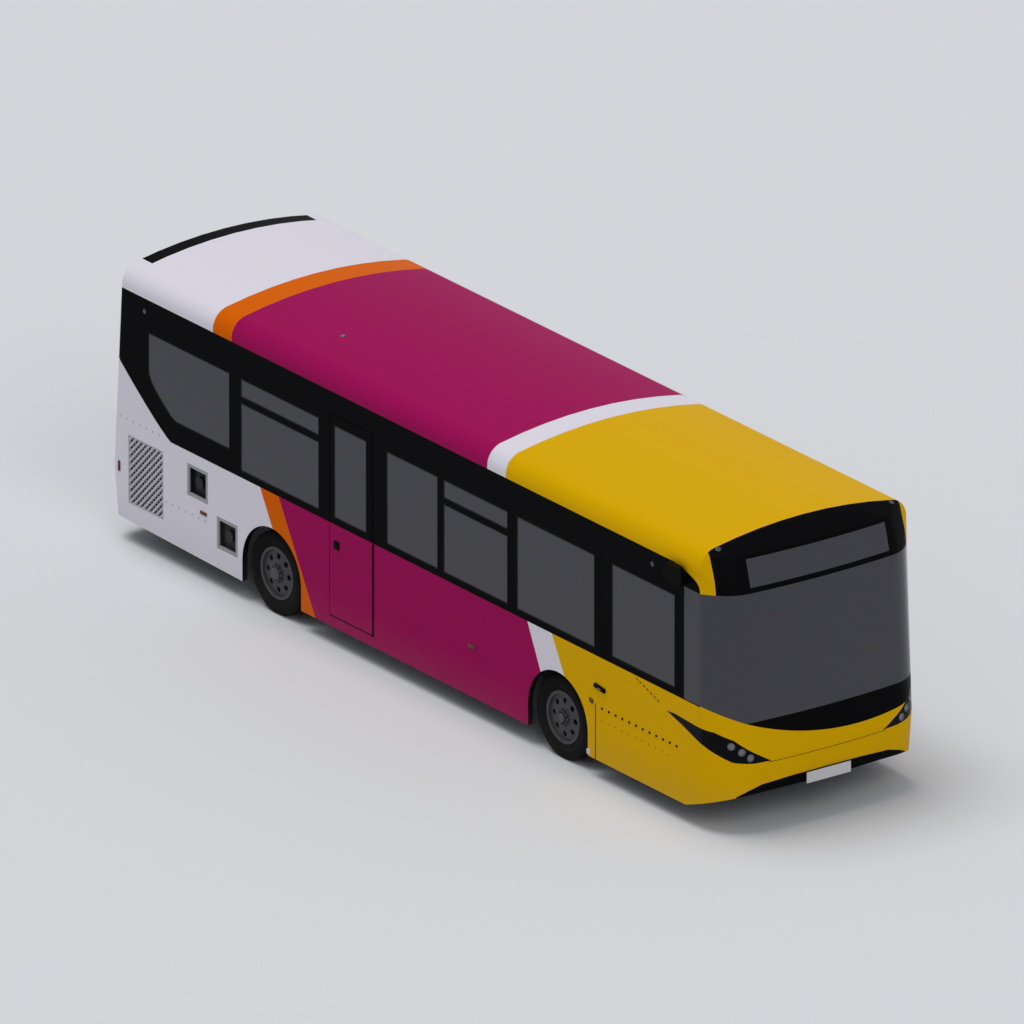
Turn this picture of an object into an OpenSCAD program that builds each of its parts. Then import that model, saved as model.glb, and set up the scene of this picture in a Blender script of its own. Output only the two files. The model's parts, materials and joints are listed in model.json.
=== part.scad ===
// Low-floor airport passenger bus, right-hand drive.
// X points forward, Y to the left, Z up; the origin is on the ground at the middle of the bus.

/* [Body] */
// Length of the body over both bumpers
body_l = 10050; // [9000:10:11500]
// Width of the body over the side walls
body_w = 2440; // [2300:10:2550]
// Height of the roof crown above the ground
body_h = 2950; // [2850:10:3150]
// Thickness of the side walls, roof and end panels
wall_t = 60; // [40:1:90]
// Height of the skirt's lower edge
skirt_z = 200; // [160:5:240]
// Drop from the roof crown to the top of the side walls
cove_drop = 330; // [310:5:390]
// Radius of the roof crown across the bus
roof_crown_r = 5500; // [4000:50:9000]
// Radius of the cove between side wall and roof
cove_r = 200; // [120:5:240]

/* [Axles and wheels] */
// Distance from the front bumper to the front axle
front_overhang = 2680; // [2550:10:2800]
// Distance from the rear axle to the rear bumper
rear_overhang = 2740; // [2650:10:2900]
// Outer radius of a tyre
tyre_r = 420; // [400:2:430]
// Width of a tyre
tyre_w = 236; // [210:2:245]
// Radius of the rim's bead seat
rim_r = 248; // [235:1:260]
// Distance from the side wall's outer face to the outer tyre face
tyre_inset = 45; // [35:1:60]
// Gap between the twin rear tyres
twin_gap = 48; // [36:1:60]
// Distance from the kingpin to the middle of the front tyre
kingpin_offset = 150; // [148:1:160]
// Radius of a wheel arch cut in the side wall
arch_r = 480; // [470:1:495]

/* [Windows] */
// Height of the windows' lower edge
pane_z0 = 1330; // [1250:5:1400]
// Drop from the roof crown to the windows' upper edge
pane_drop = 655; // [610:5:750]
// Thickness of the side glass
glass_t = 8; // [5:1:12]
// Width of the driver's side window
cab_pane_w = 1020; // [900:5:1060]
// Width of the first passenger window
first_pane_w = 1260; // [1000:5:1300]
// Width of the second passenger window, with a hopper
second_pane_w = 1045; // [900:5:1100]
// Width of the third passenger window
third_pane_w = 840; // [700:5:900]
// Width of the window in the emergency door
exit_pane_w = 505; // [420:5:520]
// Width of the window over the rear axle, with a hopper
rear_pane_w = 1285; // [1100:5:1300]
// Width of the swept rear quarter window
quarter_pane_w = 1345; // [1200:5:1360]
// Width of the windscreen pillar
a_pillar_w = 135; // [110:5:160]
// Width of the post behind the driver's window
cab_post_w = 260; // [220:5:300]
// Width of the plain window posts
post_w = 135; // [100:5:150]
// Width of the slim window post
slim_post_w = 80; // [60:5:100]
// Width of the posts beside the emergency door window
exit_post_w = 290; // [270:5:320]
// Width of the post ahead of the quarter window
quarter_post_w = 170; // [140:5:200]
// Drop from the windows' upper edge to the bar under an opening hopper
hopper_drop = 250; // [200:5:300]
// Depth of the bar under an opening hopper
transom_h = 48; // [36:1:60]

/* [Front] */
// Length of the windscreen's wrap round the front corner
windscreen_return = 666; // [620:2:720]
// Drop from the roof crown to the windscreen's upper edge
windscreen_drop = 530; // [490:5:570]
// Height of the windscreen's lower edge
windscreen_z0 = 1135; // [1100:5:1160]
// Radius of the front's bow in plan
front_bow_r = 9000; // [6000:100:14000]
// Radius of the front corners in plan
front_corner_r = 420; // [360:5:460]
// Setback of the windscreen's upper edge from the bumper
front_rake_run = 100; // [60:5:140]
// Height of the bumper's foremost line
bumper_z = 750; // [650:5:850]
// Lowest height of the front panel's swept upper edge
sweep_z = 865; // [820:5:900]
// Radius of the front panel's swept upper edge
sweep_r = 3400; // [3200:20:3800]

/* [Rear] */
// Radius of the rear's bow in plan
rear_bow_r = 12000; // [8000:100:16000]
// Radius of the rear corners in plan
rear_corner_r = 180; // [140:5:190]
// Setback of the rear at roof height from the rear bumper
rear_rake_run = 180; // [120:5:200]
// Width of the engine cover
lid_w = 1640; // [1400:10:1700]
// Height of the engine cover's lower edge
lid_z0 = 520; // [480:5:560]
// Height of the engine cover's upper edge
lid_z1 = 1280; // [1200:5:1320]

/* [Doors] */
// Width of the entrance
door_w = 1160; // [1000:5:1180]
// Drop from the roof crown to the entrance's upper edge
door_drop = 550; // [500:5:650]
// Gap round a moving door
door_gap = 8; // [6:0.5:12]
// Radius of a door's round hinge stile
stile_r = 22; // [18:0.5:26]
// Width of the emergency door's opening
exit_w = 715; // [680:5:740]
// Height of the emergency door's lower edge
exit_z0 = 310; // [290:5:330]

/* [Floor and seats] */
// Height of the low floor
floor_z = 360; // [350:2:380]
// Thickness of the floor
floor_t = 30; // [20:1:34]
// Height of the raised rear deck
deck_z = 980; // [960:5:1020]
// Width of a double seat
seat_w = 880; // [800:5:900]
// Spacing of the seat rows
seat_pitch = 760; // [720:5:820]

/* [Hidden] */
$fn = 48;

// Fits: a sliding or bonded gap, and the overrun of every cut
fit = 0.3;
cut = 20;
// Segments of each drawn arc, and the thickness of one drawn slice of the body
arc_steps = 8;
slice_t = 1;

// Places along the bus
half_w = body_w / 2;
front_x = body_l / 2;
axle_f_x = front_x - front_overhang;
axle_r_x = rear_overhang - front_x;
screen_x = front_x - windscreen_return;
rear_margin = 10;
rear_x = rear_rake_run + rear_corner_r + rear_margin - front_x;
inner_y = half_w - wall_t;

// Heights that hang from the roof crown
cove_z = body_h - cove_drop;
pane_z1 = body_h - pane_drop;
transom_z = pane_z1 - hopper_drop;
windscreen_z1 = body_h - windscreen_drop;
door_z1 = body_h - door_drop;

// Body levels: setbacks of the two ends at the skirt, the bumper, the windscreen head and the brow
bumper_tuck = 60;
brow_rise = 160;
brow_z = cove_z + brow_rise;
brow_set = 200;
roof_front_set = 420;
rear_roof_run = 120;
roof_rear_set = rear_rake_run + rear_roof_run;
cove_rise = 129;

// One end of a crowned outline: a corner arc, a wide crown arc and the other corner arc
function cap_pts(half, top, crown_r, corner_r) =
    let (cu = half - corner_r,
        oc = top - crown_r,
        cv = oc + sqrt(pow(crown_r - corner_r, 2) - pow(cu, 2)),
        ta = atan2(cv - oc, cu))
    concat(
        [for (i = [0:arc_steps]) let (a = ta * i / arc_steps)
            [cu + corner_r * cos(a), cv + corner_r * sin(a)]],
        [for (i = [1:arc_steps - 1]) let (a = ta + (180 - 2 * ta) * i / arc_steps)
            [crown_r * cos(a), oc + crown_r * sin(a)]],
        [for (i = [0:arc_steps]) let (a = 180 - ta + ta * i / arc_steps)
            [corner_r * cos(a) - cu, cv + corner_r * sin(a)]]);

// Plan outline of the body, with its ends set back and its skin taken in by d
module plan(half, front_set, rear_set, d) {
    front = cap_pts(half - d, front_x - front_set - d, front_bow_r - d, front_corner_r - d);
    rear = cap_pts(half - d, front_x - rear_set - d, rear_bow_r - d, rear_corner_r - d);
    polygon(concat([for (p = front) [p[1], p[0]]], [for (p = rear) [-p[1], -p[0]]]));
}

module level(z, half, front_set, rear_set, d) {
    translate([0, 0, z])
        linear_extrude(slice_t)
            plan(half, front_set, rear_set, d);
}

// The whole closed body form, taken in by d; below the skirt it runs on when it is a cutter
module body_form(d) {
    bottom = d > 0 ? skirt_z - cut : skirt_z;
    brow_half = half_w - cove_r + sqrt(pow(cove_r, 2) - pow(cove_rise, 2));
    rear_share = (windscreen_z1 - bumper_z) / (cove_z - bumper_z);
    roof_pts = concat(cap_pts(half_w - d, body_h - d, roof_crown_r - d, cove_r - d),
        [[d - half_w, cove_z], [half_w - d, cove_z]]);
    hull() {
        level(bottom, half_w, bumper_tuck, bumper_tuck, d);
        level(bumper_z, half_w, 0, 0, d);
        level(windscreen_z1, half_w, front_rake_run, rear_rake_run * rear_share, d);
        level(brow_z - d, brow_half, brow_set, rear_rake_run, d);
        translate([roof_rear_set + d - front_x, 0, 0])
            rotate([90, 0, 90])
                linear_extrude(body_l - roof_rear_set - roof_front_set - 2 * d)
                    polygon(roof_pts);
    }
}

module shell(t) {
    difference() {
        body_form(0);
        body_form(t);
    }
}

// A box between two corners
module span(a, b) {
    translate(a)
        cube(b - a);
}

// A straight slab of the whole body between two places along it and two heights
module zone(x0, x1, z0, z1) {
    span([x0, -body_w, z0], [x1, body_w, z1]);
}

module both_sides() {
    children();
    mirror([0, 1, 0])
        children();
}

// Window places, from the windscreen pillar backwards; the bays share out the run of the side wall
quarter_set = 354;
pane_list = [cab_pane_w, first_pane_w, second_pane_w, third_pane_w, exit_pane_w, rear_pane_w,
    quarter_pane_w];
post_list = [a_pillar_w, cab_post_w, post_w, slim_post_w, exit_post_w, exit_post_w, quarter_post_w];
function run(list, n) = n < 0 ? 0 : list[n] + run(list, n - 1);
bay_run = run(pane_list, len(pane_list) - 1) + run(post_list, len(post_list) - 1);
bay_share = (screen_x - rear_x - quarter_set) / bay_run;
pane_ws = [for (w = pane_list) w * bay_share];
post_ws = [for (w = post_list) w * bay_share];
pane_x1 = [for (i = [0:6]) screen_x - run(post_ws, i) - run(pane_ws, i - 1)];
pane_x0 = [for (i = [0:6]) pane_x1[i] - pane_ws[i]];
EXIT = 4;
QUARTER = 6;
hopper_panes = [2, 5];
right_panes = [0, 1, 2, 3, 5, 6];
left_panes = [1, 2, 3, 4, 5, 6];

// The quarter window's sill is higher and its rear lower corner is swept
quarter_rise = 160;
quarter_shares = [[0.34, 0], [0.265, 0.05], [0.19, 0.14], [0.105, 0.25], [0.035, 0.36], [0, 0.46]];

// Outline of a pane in the side wall, as seen from the side, taken in by d
module pane_outline(i, d) {
    x0 = pane_x0[i] + d;
    x1 = pane_x1[i] - d;
    z0 = pane_z0 + d;
    z1 = pane_z1 - d;
    if (i == QUARTER) {
        zq = z0 + quarter_rise;
        swept = [for (p = quarter_shares) [x0 + (x1 - x0) * p[0], zq + (z1 - zq) * p[1]]];
        polygon(concat([[x0, z1], [x1, z1], [x1, zq]], swept));
    }
    else
        difference() {
            translate([x0, z0])
                square([x1 - x0, z1 - z0]);
            if (len(search(i, hopper_panes)) > 0)
                translate([x0 - cut, transom_z - d])
                    square([x1 - x0 + 2 * cut, transom_h + 2 * d]);
        }
}

// A side outline pushed through from depth y0 to y1, both measured outwards from the middle
module side_prism(y0, y1) {
    translate([0, y1, 0])
        rotate([90, 0, 0])
            linear_extrude(y1 - y0)
                children();
}

// Side walls, as seen on the left; the right wall is the mirror image
grille_w = 580;
grille_h = 710;
grille_z0 = 420;
grille_set = 20;
grille_x0 = rear_x + grille_set;
pocket_w = 340;
pocket_h = 330;
upper_pocket_set = 1460;
upper_pocket_z = 977;
lower_pocket_set = 1945;
lower_pocket_z = 580;
skirt_rise = 40;

module arch_cut(x, r) {
    translate([x, half_w + cut, tyre_r])
        rotate([90, 0, 0])
            cylinder(r = r, h = wall_t + 2 * cut);
    span([x - r, inner_y - cut, skirt_z - cut], [x + r, half_w + cut, tyre_r]);
}

module plain_wall(panes) {
    difference() {
        span([rear_x, inner_y, skirt_z], [screen_x, half_w, cove_z]);
        arch_cut(axle_f_x, arch_r);
        arch_cut(axle_r_x, arch_r);
        side_prism(inner_y - cut, half_w + cut)
            for (i = panes)
                pane_outline(i, 0);
        // The skirt rises gently behind the rear axle
        side_prism(inner_y - cut, half_w + cut)
            polygon([[rear_x - cut, skirt_z - cut], [axle_r_x - arch_r, skirt_z - cut],
                [axle_r_x - arch_r, skirt_z], [rear_x - cut, skirt_z + skirt_rise]]);
    }
}

// Hinge pins that stand in the sill and hang from the head of a door opening
pin_r = 9;
pin_l = 26;

module hinge_pins(x, z0, z1) {
    for (z = [z0 - pin_l, z1 - door_gap - pin_l])
        translate([x, half_w - stile_r, z])
            cylinder(r = pin_r, h = door_gap + 2 * pin_l);
}

// Entrance and emergency door openings
door_post_w = 100;
door_x1 = screen_x - door_post_w;
door_x0 = door_x1 - door_w;
door_axis_in = door_gap + stile_r;
exit_rim_share = 0.36;
exit_run = exit_w * bay_share;
exit_x1 = pane_x1[EXIT] + (exit_run - pane_ws[EXIT]) * exit_rim_share;
exit_x0 = exit_x1 - exit_run;
exit_z1 = door_z1;

module side_wall_left() {
    color("purple") {
        difference() {
            plain_wall(left_panes);
            span([door_x0, inner_y - cut, floor_z], [door_x1, half_w + cut, door_z1]);
        }
        hinge_pins(door_x1 - door_axis_in, floor_z, door_z1);
        hinge_pins(door_x0 + door_axis_in, floor_z, door_z1);
    }
}

module pocket_places() {
    translate([rear_x + upper_pocket_set - roof_rear_set, 0, upper_pocket_z])
        children();
    translate([rear_x + lower_pocket_set - roof_rear_set, 0, lower_pocket_z])
        children();
}

module side_wall_right() {
    color("purple")
        mirror([0, 1, 0]) {
            difference() {
                plain_wall(right_panes);
                span([exit_x0, inner_y - cut, exit_z0], [exit_x1, half_w + cut, exit_z1]);
                span([grille_x0, inner_y - cut, grille_z0],
                    [grille_x0 + grille_w, half_w + cut, grille_z0 + grille_h]);
                pocket_places()
                    span([-pocket_w / 2, inner_y - cut, -pocket_h / 2],
                        [pocket_w / 2, half_w + cut, pocket_h / 2]);
                mirror([0, 1, 0])
                    lamp_prism(0);
            }
            hinge_pins(exit_x1 - door_axis_in, exit_z0, exit_z1);
        }
}

module side_panes(panes) {
    side_prism(half_w - glass_t, half_w)
        for (i = panes)
            pane_outline(i, fit);
}

module side_glass_left() {
    color("dimgray")
        side_panes(left_panes);
}

module side_glass_right() {
    color("dimgray")
        mirror([0, 1, 0])
            side_panes(right_panes);
}

// Rear side grille: a frame with diagonal bars over a closed back
bar_w = 36;
bar_pitch = 78;
bar_angle = 45;
grille_frame = 26;
grille_back = 14;

module grille_slots() {
    reach = grille_w + grille_h;
    slot_count = floor(reach / bar_pitch);
    for (i = [0:slot_count])
        rotate([0, -bar_angle, 0])
            span([-reach, inner_y + grille_back, (i - slot_count / 2) * bar_pitch],
                [reach, half_w + cut, (i - slot_count / 2) * bar_pitch + bar_pitch - bar_w]);
}

module side_grille() {
    color("gray")
        mirror([0, 1, 0])
            difference() {
                span([grille_x0 + fit, inner_y, grille_z0 + fit],
                    [grille_x0 + grille_w - fit, half_w - fit, grille_z0 + grille_h - fit]);
                intersection() {
                    span([grille_x0 + grille_frame, inner_y, grille_z0 + grille_frame],
                        [grille_x0 + grille_w - grille_frame, half_w + cut,
                            grille_z0 + grille_h - grille_frame]);
                    translate([grille_x0 + grille_w / 2, 0, grille_z0 + grille_h / 2])
                        grille_slots();
                }
            }
}

// Filler pockets: a square rim and a recessed tray with a filler cap
pocket_rim = 34;
cap_r = 62;
cap_l = 30;
tray_t = 10;

module filler_pockets() {
    color("slategray")
        mirror([0, 1, 0])
            pocket_places() {
                difference() {
                    span([fit - pocket_w / 2, inner_y, fit - pocket_h / 2],
                        [pocket_w / 2 - fit, half_w, pocket_h / 2 - fit]);
                    span([pocket_rim - pocket_w / 2, inner_y + tray_t, pocket_rim - pocket_h / 2],
                        [pocket_w / 2 - pocket_rim, half_w + cut, pocket_h / 2 - pocket_rim]);
                }
                translate([0, inner_y + tray_t / 2, 0])
                    rotate([-90, 0, 0])
                        cylinder(r = cap_r, h = tray_t / 2 + cap_l);
            }
}

// Roof, with the corner tips that come down beside the destination panel
dome_inset = 95;
dome_half_w = half_w - dome_inset;
dome_x = front_x - roof_front_set;

module dome_zone(d) {
    span([dome_x + d, d - dome_half_w, windscreen_z1 - cut],
        [front_x + cut, dome_half_w - d, body_h + cut]);
}

module roof() {
    color("crimson")
        difference() {
            intersection() {
                shell(wall_t);
                union() {
                    zone(-body_l, body_l, cove_z, body_h + cut);
                    zone(screen_x, body_l, windscreen_z1, body_h + cut);
                }
            }
            dome_zone(0);
        }
}

// Destination panel with its glass
sign_w = 1640;
sign_rise = 50;
sign_z0 = windscreen_z1 + sign_rise;
sign_h = 270;

module sign_zone(d) {
    span([dome_x, d - sign_w / 2, sign_z0 + d],
        [front_x + cut, sign_w / 2 - d, sign_z0 + sign_h - d]);
}

module dome_panel() {
    color([0.06, 0.06, 0.06])
        difference() {
            intersection() {
                shell(wall_t);
                dome_zone(fit);
                zone(0, body_l, windscreen_z1, body_h + cut);
            }
            sign_zone(0);
        }
}

module destination_glass() {
    color("dimgray")
        intersection() {
            shell(wall_t);
            sign_zone(fit);
        }
}

// Front panel below the swept line, and the black base and the glass above it
sweep_y = 400;
sweep_reach = 1000;
valance_half_w = 1000;
valance_z1 = 510;
valance_z0 = 395;
valance_set = 14;
approach_run = 640;

module sweep_bore(d) {
    translate([screen_x - sweep_reach, sweep_y, sweep_z + sweep_r])
        rotate([0, 90, 0])
            cylinder(r = sweep_r + d, h = windscreen_return + 2 * sweep_reach, $fn = 720);
}

// The underside of the front rises to the foot of the valance
module approach_cut() {
    side_prism(-body_w, body_w)
        polygon([[front_x - approach_run, skirt_z - 2 * cut], [front_x + cut, skirt_z - 2 * cut],
            [front_x + cut, valance_z0], [front_x - valance_set - wall_t, valance_z0],
            [front_x - approach_run, skirt_z]]);
}

// Half of the valance's upper edge, as shares of its half width and its height in the middle
valance_shares = [[1, -0.05], [0.9, 0.37], [0.75, 0.76], [0.4, 0.96]];

module valance_zone(d) {
    high = [for (p = valance_shares) [p[0] * valance_half_w, valance_z0 + p[1] * (valance_z1 - valance_z0)]];
    low = [for (i = [1:len(high)]) [-high[len(high) - i][0], high[len(high) - i][1]]];
    translate([screen_x, 0, 0])
        rotate([90, 0, 90])
            linear_extrude(windscreen_return + cut)
                offset(delta = -d)
                    polygon(concat([[valance_half_w, skirt_z]], high, [[0, valance_z1]], low,
                        [[-valance_half_w, skirt_z]]));
}

// Headlamp outline on the corner, seen square to it, as shares of its length and height
lamp_l = 1050;
lamp_h = 350;
lamp_z0 = 715;
lamp_d = 45;
lamp_start = 1225;
lamp_near = 900;
lamp_far = 2400;
lamp_shares = [[0, 1], [0.09, 1.03], [0.5, 0.94], [0.68, 0.74], [1, 0], [0.86, 0.02], [0.67, 0.11],
    [0.4, 0.48], [0.17, 0.8]];

module lamp_prism(d) {
    // The lamp's line of sight meets the corner at half a right angle
    corner_angle = 45;
    translate([axle_f_x, -half_w, 0])
        rotate([0, 0, corner_angle])
            translate([lamp_start, -lamp_near, lamp_z0])
                rotate([90, 0, 0])
                    linear_extrude(lamp_far - lamp_near)
                        offset(delta = -d)
                            polygon([for (p = lamp_shares) [p[0] * lamp_l, p[1] * lamp_h]]);
}

module front_zone() {
    zone(screen_x, body_l, skirt_z - cut, windscreen_z1);
}

module front_panel() {
    color("gold")
        difference() {
            intersection() {
                shell(wall_t);
                front_zone();
            }
            sweep_bore(0);
            approach_cut();
            valance_zone(0);
            both_sides()
                lamp_prism(0);
        }
}

module front_valance() {
    color([0.05, 0.05, 0.05])
        difference() {
            intersection() {
                difference() {
                    body_form(valance_set);
                    body_form(wall_t);
                }
                valance_zone(fit);
            }
            approach_cut();
        }
}

module windscreen_base() {
    color([0.04, 0.04, 0.04])
        difference() {
            intersection() {
                shell(wall_t);
                sweep_bore(-fit);
                zone(screen_x, body_l, skirt_z, windscreen_z0);
            }
            both_sides()
                lamp_prism(0);
        }
}

screen_t = 14;

module windscreen() {
    color([0.25, 0.26, 0.28])
        intersection() {
            shell(screen_t);
            sweep_bore(-fit);
            zone(screen_x + fit, body_l, windscreen_z0 + fit, windscreen_z1 - fit);
        }
}

// The right lamp runs back onto the side wall; the left one ends at the entrance's post
module headlamps() {
    color([0.1, 0.1, 0.12]) {
        intersection() {
            shell(lamp_d);
            lamp_prism(fit);
        }
        intersection() {
            shell(lamp_d);
            mirror([0, 1, 0])
                lamp_prism(fit);
            zone(screen_x + fit, body_l, skirt_z, windscreen_z1);
        }
    }
}

plate_w = 520;
plate_h = 111;
plate_t = 6;
plate_z = 450;

// A flat plate held on two pads against the valance
module number_plate() {
    pad_w = 60;
    color("white")
        difference() {
            union() {
                span([front_x - plate_t, -plate_w / 2, plate_z - plate_h / 2],
                    [front_x, plate_w / 2, plate_z + plate_h / 2]);
                both_sides()
                    span([front_x - wall_t, plate_w / 2 - 2 * pad_w, plate_z - pad_w / 2],
                        [front_x - plate_t, plate_w / 2 - pad_w, plate_z + pad_w / 2]);
            }
            body_form(valance_set - fit);
        }
}

// Rear end
rear_pane_half_w = 900;
rear_pane_low_share = 0.165;
rear_pane_high_share = 0.715;
rear_pane_z0 = lid_z1 + (cove_z - lid_z1) * rear_pane_low_share;
rear_pane_z1 = lid_z1 + (cove_z - lid_z1) * rear_pane_high_share;
rear_lamp_w = 110;
rear_lamp_y = 960;
rear_lamp_z0 = 620;
rear_lamp_h = 620;
rear_lamp_d = 40;

function rear_skin_x(z) = rear_rake_run * (z - bumper_z) / (cove_z - bumper_z) - front_x;

module rear_box(half, z0, z1, d) {
    span([-front_x - cut, d - half, z0 + d], [rear_x, half - d, z1 - d]);
}

module rear_lamp_zone(d) {
    both_sides()
        span([-front_x - cut, rear_lamp_y + d, rear_lamp_z0 + d],
            [rear_x, rear_lamp_y + rear_lamp_w - d, rear_lamp_z0 + rear_lamp_h - d]);
}

// Engine cover hinge: pins on the rear panel, barrels on the cover
lid_pin_r = 6;
lid_barrel_r = 14;
lid_barrel_l = 110;
lid_ear_w = 22;
lid_hinge_y = 480;
lid_hinge_out = 24;
lid_strap_h = 70;
lid_hinge_x = rear_skin_x(lid_z1) - lid_hinge_out;

module lid_places() {
    for (s = [-1, 1])
        translate([lid_hinge_x, s * lid_hinge_y, lid_z1])
            rotate([90, 0, 0])
                children();
}

module rear_panel() {
    color("white") {
        difference() {
            intersection() {
                shell(wall_t);
                zone(-body_l, rear_x, skirt_z + skirt_rise, cove_z);
            }
            rear_box(rear_pane_half_w, rear_pane_z0, rear_pane_z1, 0);
            rear_box(lid_w / 2, lid_z0, lid_z1, 0);
            rear_lamp_zone(0);
        }
        lid_places() {
            cylinder(r = lid_pin_r, h = lid_barrel_l + 2 * fit, center = true);
            for (s = [-1, 1])
                translate([0, 0, s * (lid_barrel_l / 2 + lid_ear_w / 2 + fit) - lid_ear_w / 2]) {
                    cylinder(r = lid_barrel_r, h = lid_ear_w);
                    translate([-lid_barrel_r, 0, 0])
                        cube([lid_hinge_out + wall_t, lid_strap_h, lid_ear_w]);
                }
        }
    }
}

module rear_glass() {
    color("dimgray")
        intersection() {
            shell(screen_t);
            rear_box(rear_pane_half_w, rear_pane_z0, rear_pane_z1, fit);
        }
}

module rear_lamps() {
    color("firebrick")
        intersection() {
            shell(rear_lamp_d);
            rear_lamp_zone(fit);
        }
}

louvre_count = 6;
louvre_h = 26;
louvre_w = 1100;
louvre_z0 = 620;
louvre_pitch = 74;

module engine_cover() {
    color("white") {
        difference() {
            intersection() {
                shell(wall_t);
                rear_box(lid_w / 2, lid_z0, lid_z1, door_gap);
            }
            for (i = [0:louvre_count - 1])
                translate([0, 0, i * louvre_pitch])
                    rear_box(louvre_w / 2, louvre_z0, louvre_z0 + louvre_h, 0);
        }
        lid_places()
            difference() {
                union() {
                    cylinder(r = lid_barrel_r, h = lid_barrel_l, center = true);
                    translate([-lid_barrel_r / 2, -lid_strap_h, -lid_barrel_l / 2])
                        cube([lid_barrel_r / 2, lid_strap_h, lid_barrel_l]);
                    translate([-lid_barrel_r / 2, -lid_strap_h, -lid_barrel_l / 2])
                        cube([lid_hinge_out + wall_t / 2 + lid_barrel_r / 2, lid_strap_h - 2 * lid_barrel_r,
                            lid_barrel_l]);
                }
                cylinder(r = lid_pin_r + fit, h = lid_barrel_l + cut, center = true);
            }
    }
}

// A door leaf: a round hinge stile on the origin's axis, a flat leaf towards +X and a window
leaf_rim = 70;
leaf_glass_t = 8;

module leaf(w, z0, z1, glass_z0, glass_z1) {
    difference() {
        union() {
            translate([0, 0, z0])
                cylinder(r = stile_r, h = z1 - z0);
            span([0, -stile_r, z0], [w, stile_r, z1]);
        }
        leaf_window(w, glass_z0, glass_z1, -stile_r - cut, stile_r + cut, 0);
        for (z = [z0 - cut, z1 - pin_l - fit])
            translate([0, 0, z])
                cylinder(r = pin_r + fit, h = pin_l + fit + cut);
    }
}

module leaf_window(w, glass_z0, glass_z1, y0, y1, d) {
    span([leaf_rim + d, y0, glass_z0 + d], [w - leaf_rim - d, y1, glass_z1 - d]);
}

module leaf_glass(w, glass_z0, glass_z1) {
    leaf_window(w, glass_z0, glass_z1, stile_r - leaf_glass_t, stile_r, fit);
}

// The front leaf hangs on the front jamb, the rear leaf on the rear jamb
leaf_w = (door_w - door_gap) / 2 - door_axis_in;
leaf_z0 = floor_z + door_gap;
leaf_z1 = door_z1 - door_gap;
leaf_glass_z0 = 620;
leaf_head = 120;
leaf_glass_z1 = door_z1 - leaf_head;
exit_leaf_w = exit_run - door_axis_in - door_gap;
exit_leaf_z0 = exit_z0 + door_gap;
exit_leaf_z1 = exit_z1 - door_gap;

module at_front_leaf() {
    translate([door_x1 - door_axis_in, half_w - stile_r, 0])
        mirror([1, 0, 0])
            children();
}

module at_rear_leaf() {
    translate([door_x0 + door_axis_in, half_w - stile_r, 0])
        children();
}

module at_exit_leaf() {
    translate([exit_x1 - door_axis_in, stile_r - half_w, 0])
        rotate([0, 0, 180])
            children();
}

module door_leaf_front() {
    color([0.08, 0.08, 0.08])
        at_front_leaf()
            leaf(leaf_w, leaf_z0, leaf_z1, leaf_glass_z0, leaf_glass_z1);
}

module door_leaf_rear() {
    color([0.08, 0.08, 0.08])
        at_rear_leaf()
            leaf(leaf_w, leaf_z0, leaf_z1, leaf_glass_z0, leaf_glass_z1);
}

module door_glass_front() {
    color("dimgray")
        at_front_leaf()
            leaf_glass(leaf_w, leaf_glass_z0, leaf_glass_z1);
}

module door_glass_rear() {
    color("dimgray")
        at_rear_leaf()
            leaf_glass(leaf_w, leaf_glass_z0, leaf_glass_z1);
}

module emergency_door() {
    color("mediumvioletred")
        at_exit_leaf()
            leaf(exit_leaf_w, exit_leaf_z0, exit_leaf_z1, pane_z0, pane_z1);
}

module emergency_door_glass() {
    color("dimgray")
        at_exit_leaf()
            leaf_glass(exit_leaf_w, pane_z0, pane_z1);
}

// Mirrors: a round-cornered housing close beside the wall, on a short arm
mirror_l = 290;
mirror_h = 190;
mirror_d = 60;
mirror_gap = 26;
mirror_drop = 415;
mirror_z = body_h - mirror_drop;
mirror_back = 370;
mirror_arm_r = 22;
mirror_corner_r = 70;

module mirrors() {
    color([0.1, 0.1, 0.1])
        both_sides()
            translate([screen_x - mirror_back + mirror_l, half_w, mirror_z]) {
                rotate([-90, 0, 0])
                    cylinder(r = mirror_arm_r, h = mirror_gap + mirror_d / 2);
                side_prism(mirror_gap, mirror_gap + mirror_d)
                    offset(r = mirror_corner_r)
                        square([mirror_l - 2 * mirror_corner_r, mirror_h - 2 * mirror_corner_r],
                            center = true);
            }
}

// Chassis: low rails under the floor, posts that stand on them, and high rails over the rear axle
rail_y = 420;
rail_w = 70;
rail_h = 80;
rail_z1 = floor_z - floor_t;
axle_travel = 330;
high_rail_z0 = tyre_r + axle_travel;
high_rail_h = 110;
kick_run = 760;
kick_x = axle_r_x + kick_run;
rail_front_set = 380;
rail_front_x = front_x - rail_front_set;
rail_rear_set = 60;
rail_rear_x = rear_x + rail_rear_set;
cross_w = 90;
cross_run = 700;
mid_cross_run = 1700;
engine_cross_run = 1500;
// Blocks at the front ends of the low rails, each with a socket for a tow bar
tow_block_l = 220;
tow_socket_r = 18;
tow_socket_l = 100;

// One cross member at x: a piece between the rails and an outrigger to each side wall
module cross_member(x, z0, z1) {
    between = rail_y - rail_w / 2 - fit;
    span([x - cross_w / 2, -between, z0], [x + cross_w / 2, between, z1]);
    both_sides()
        span([x - cross_w / 2, rail_y + rail_w / 2 + fit, z0], [x + cross_w / 2, inner_y, z1]);
}

// One length of the left-hand rail
module rail(x0, x1, z0, z1) {
    span([x0, rail_y - rail_w / 2, z0], [x1, rail_y + rail_w / 2, z1]);
}

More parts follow.
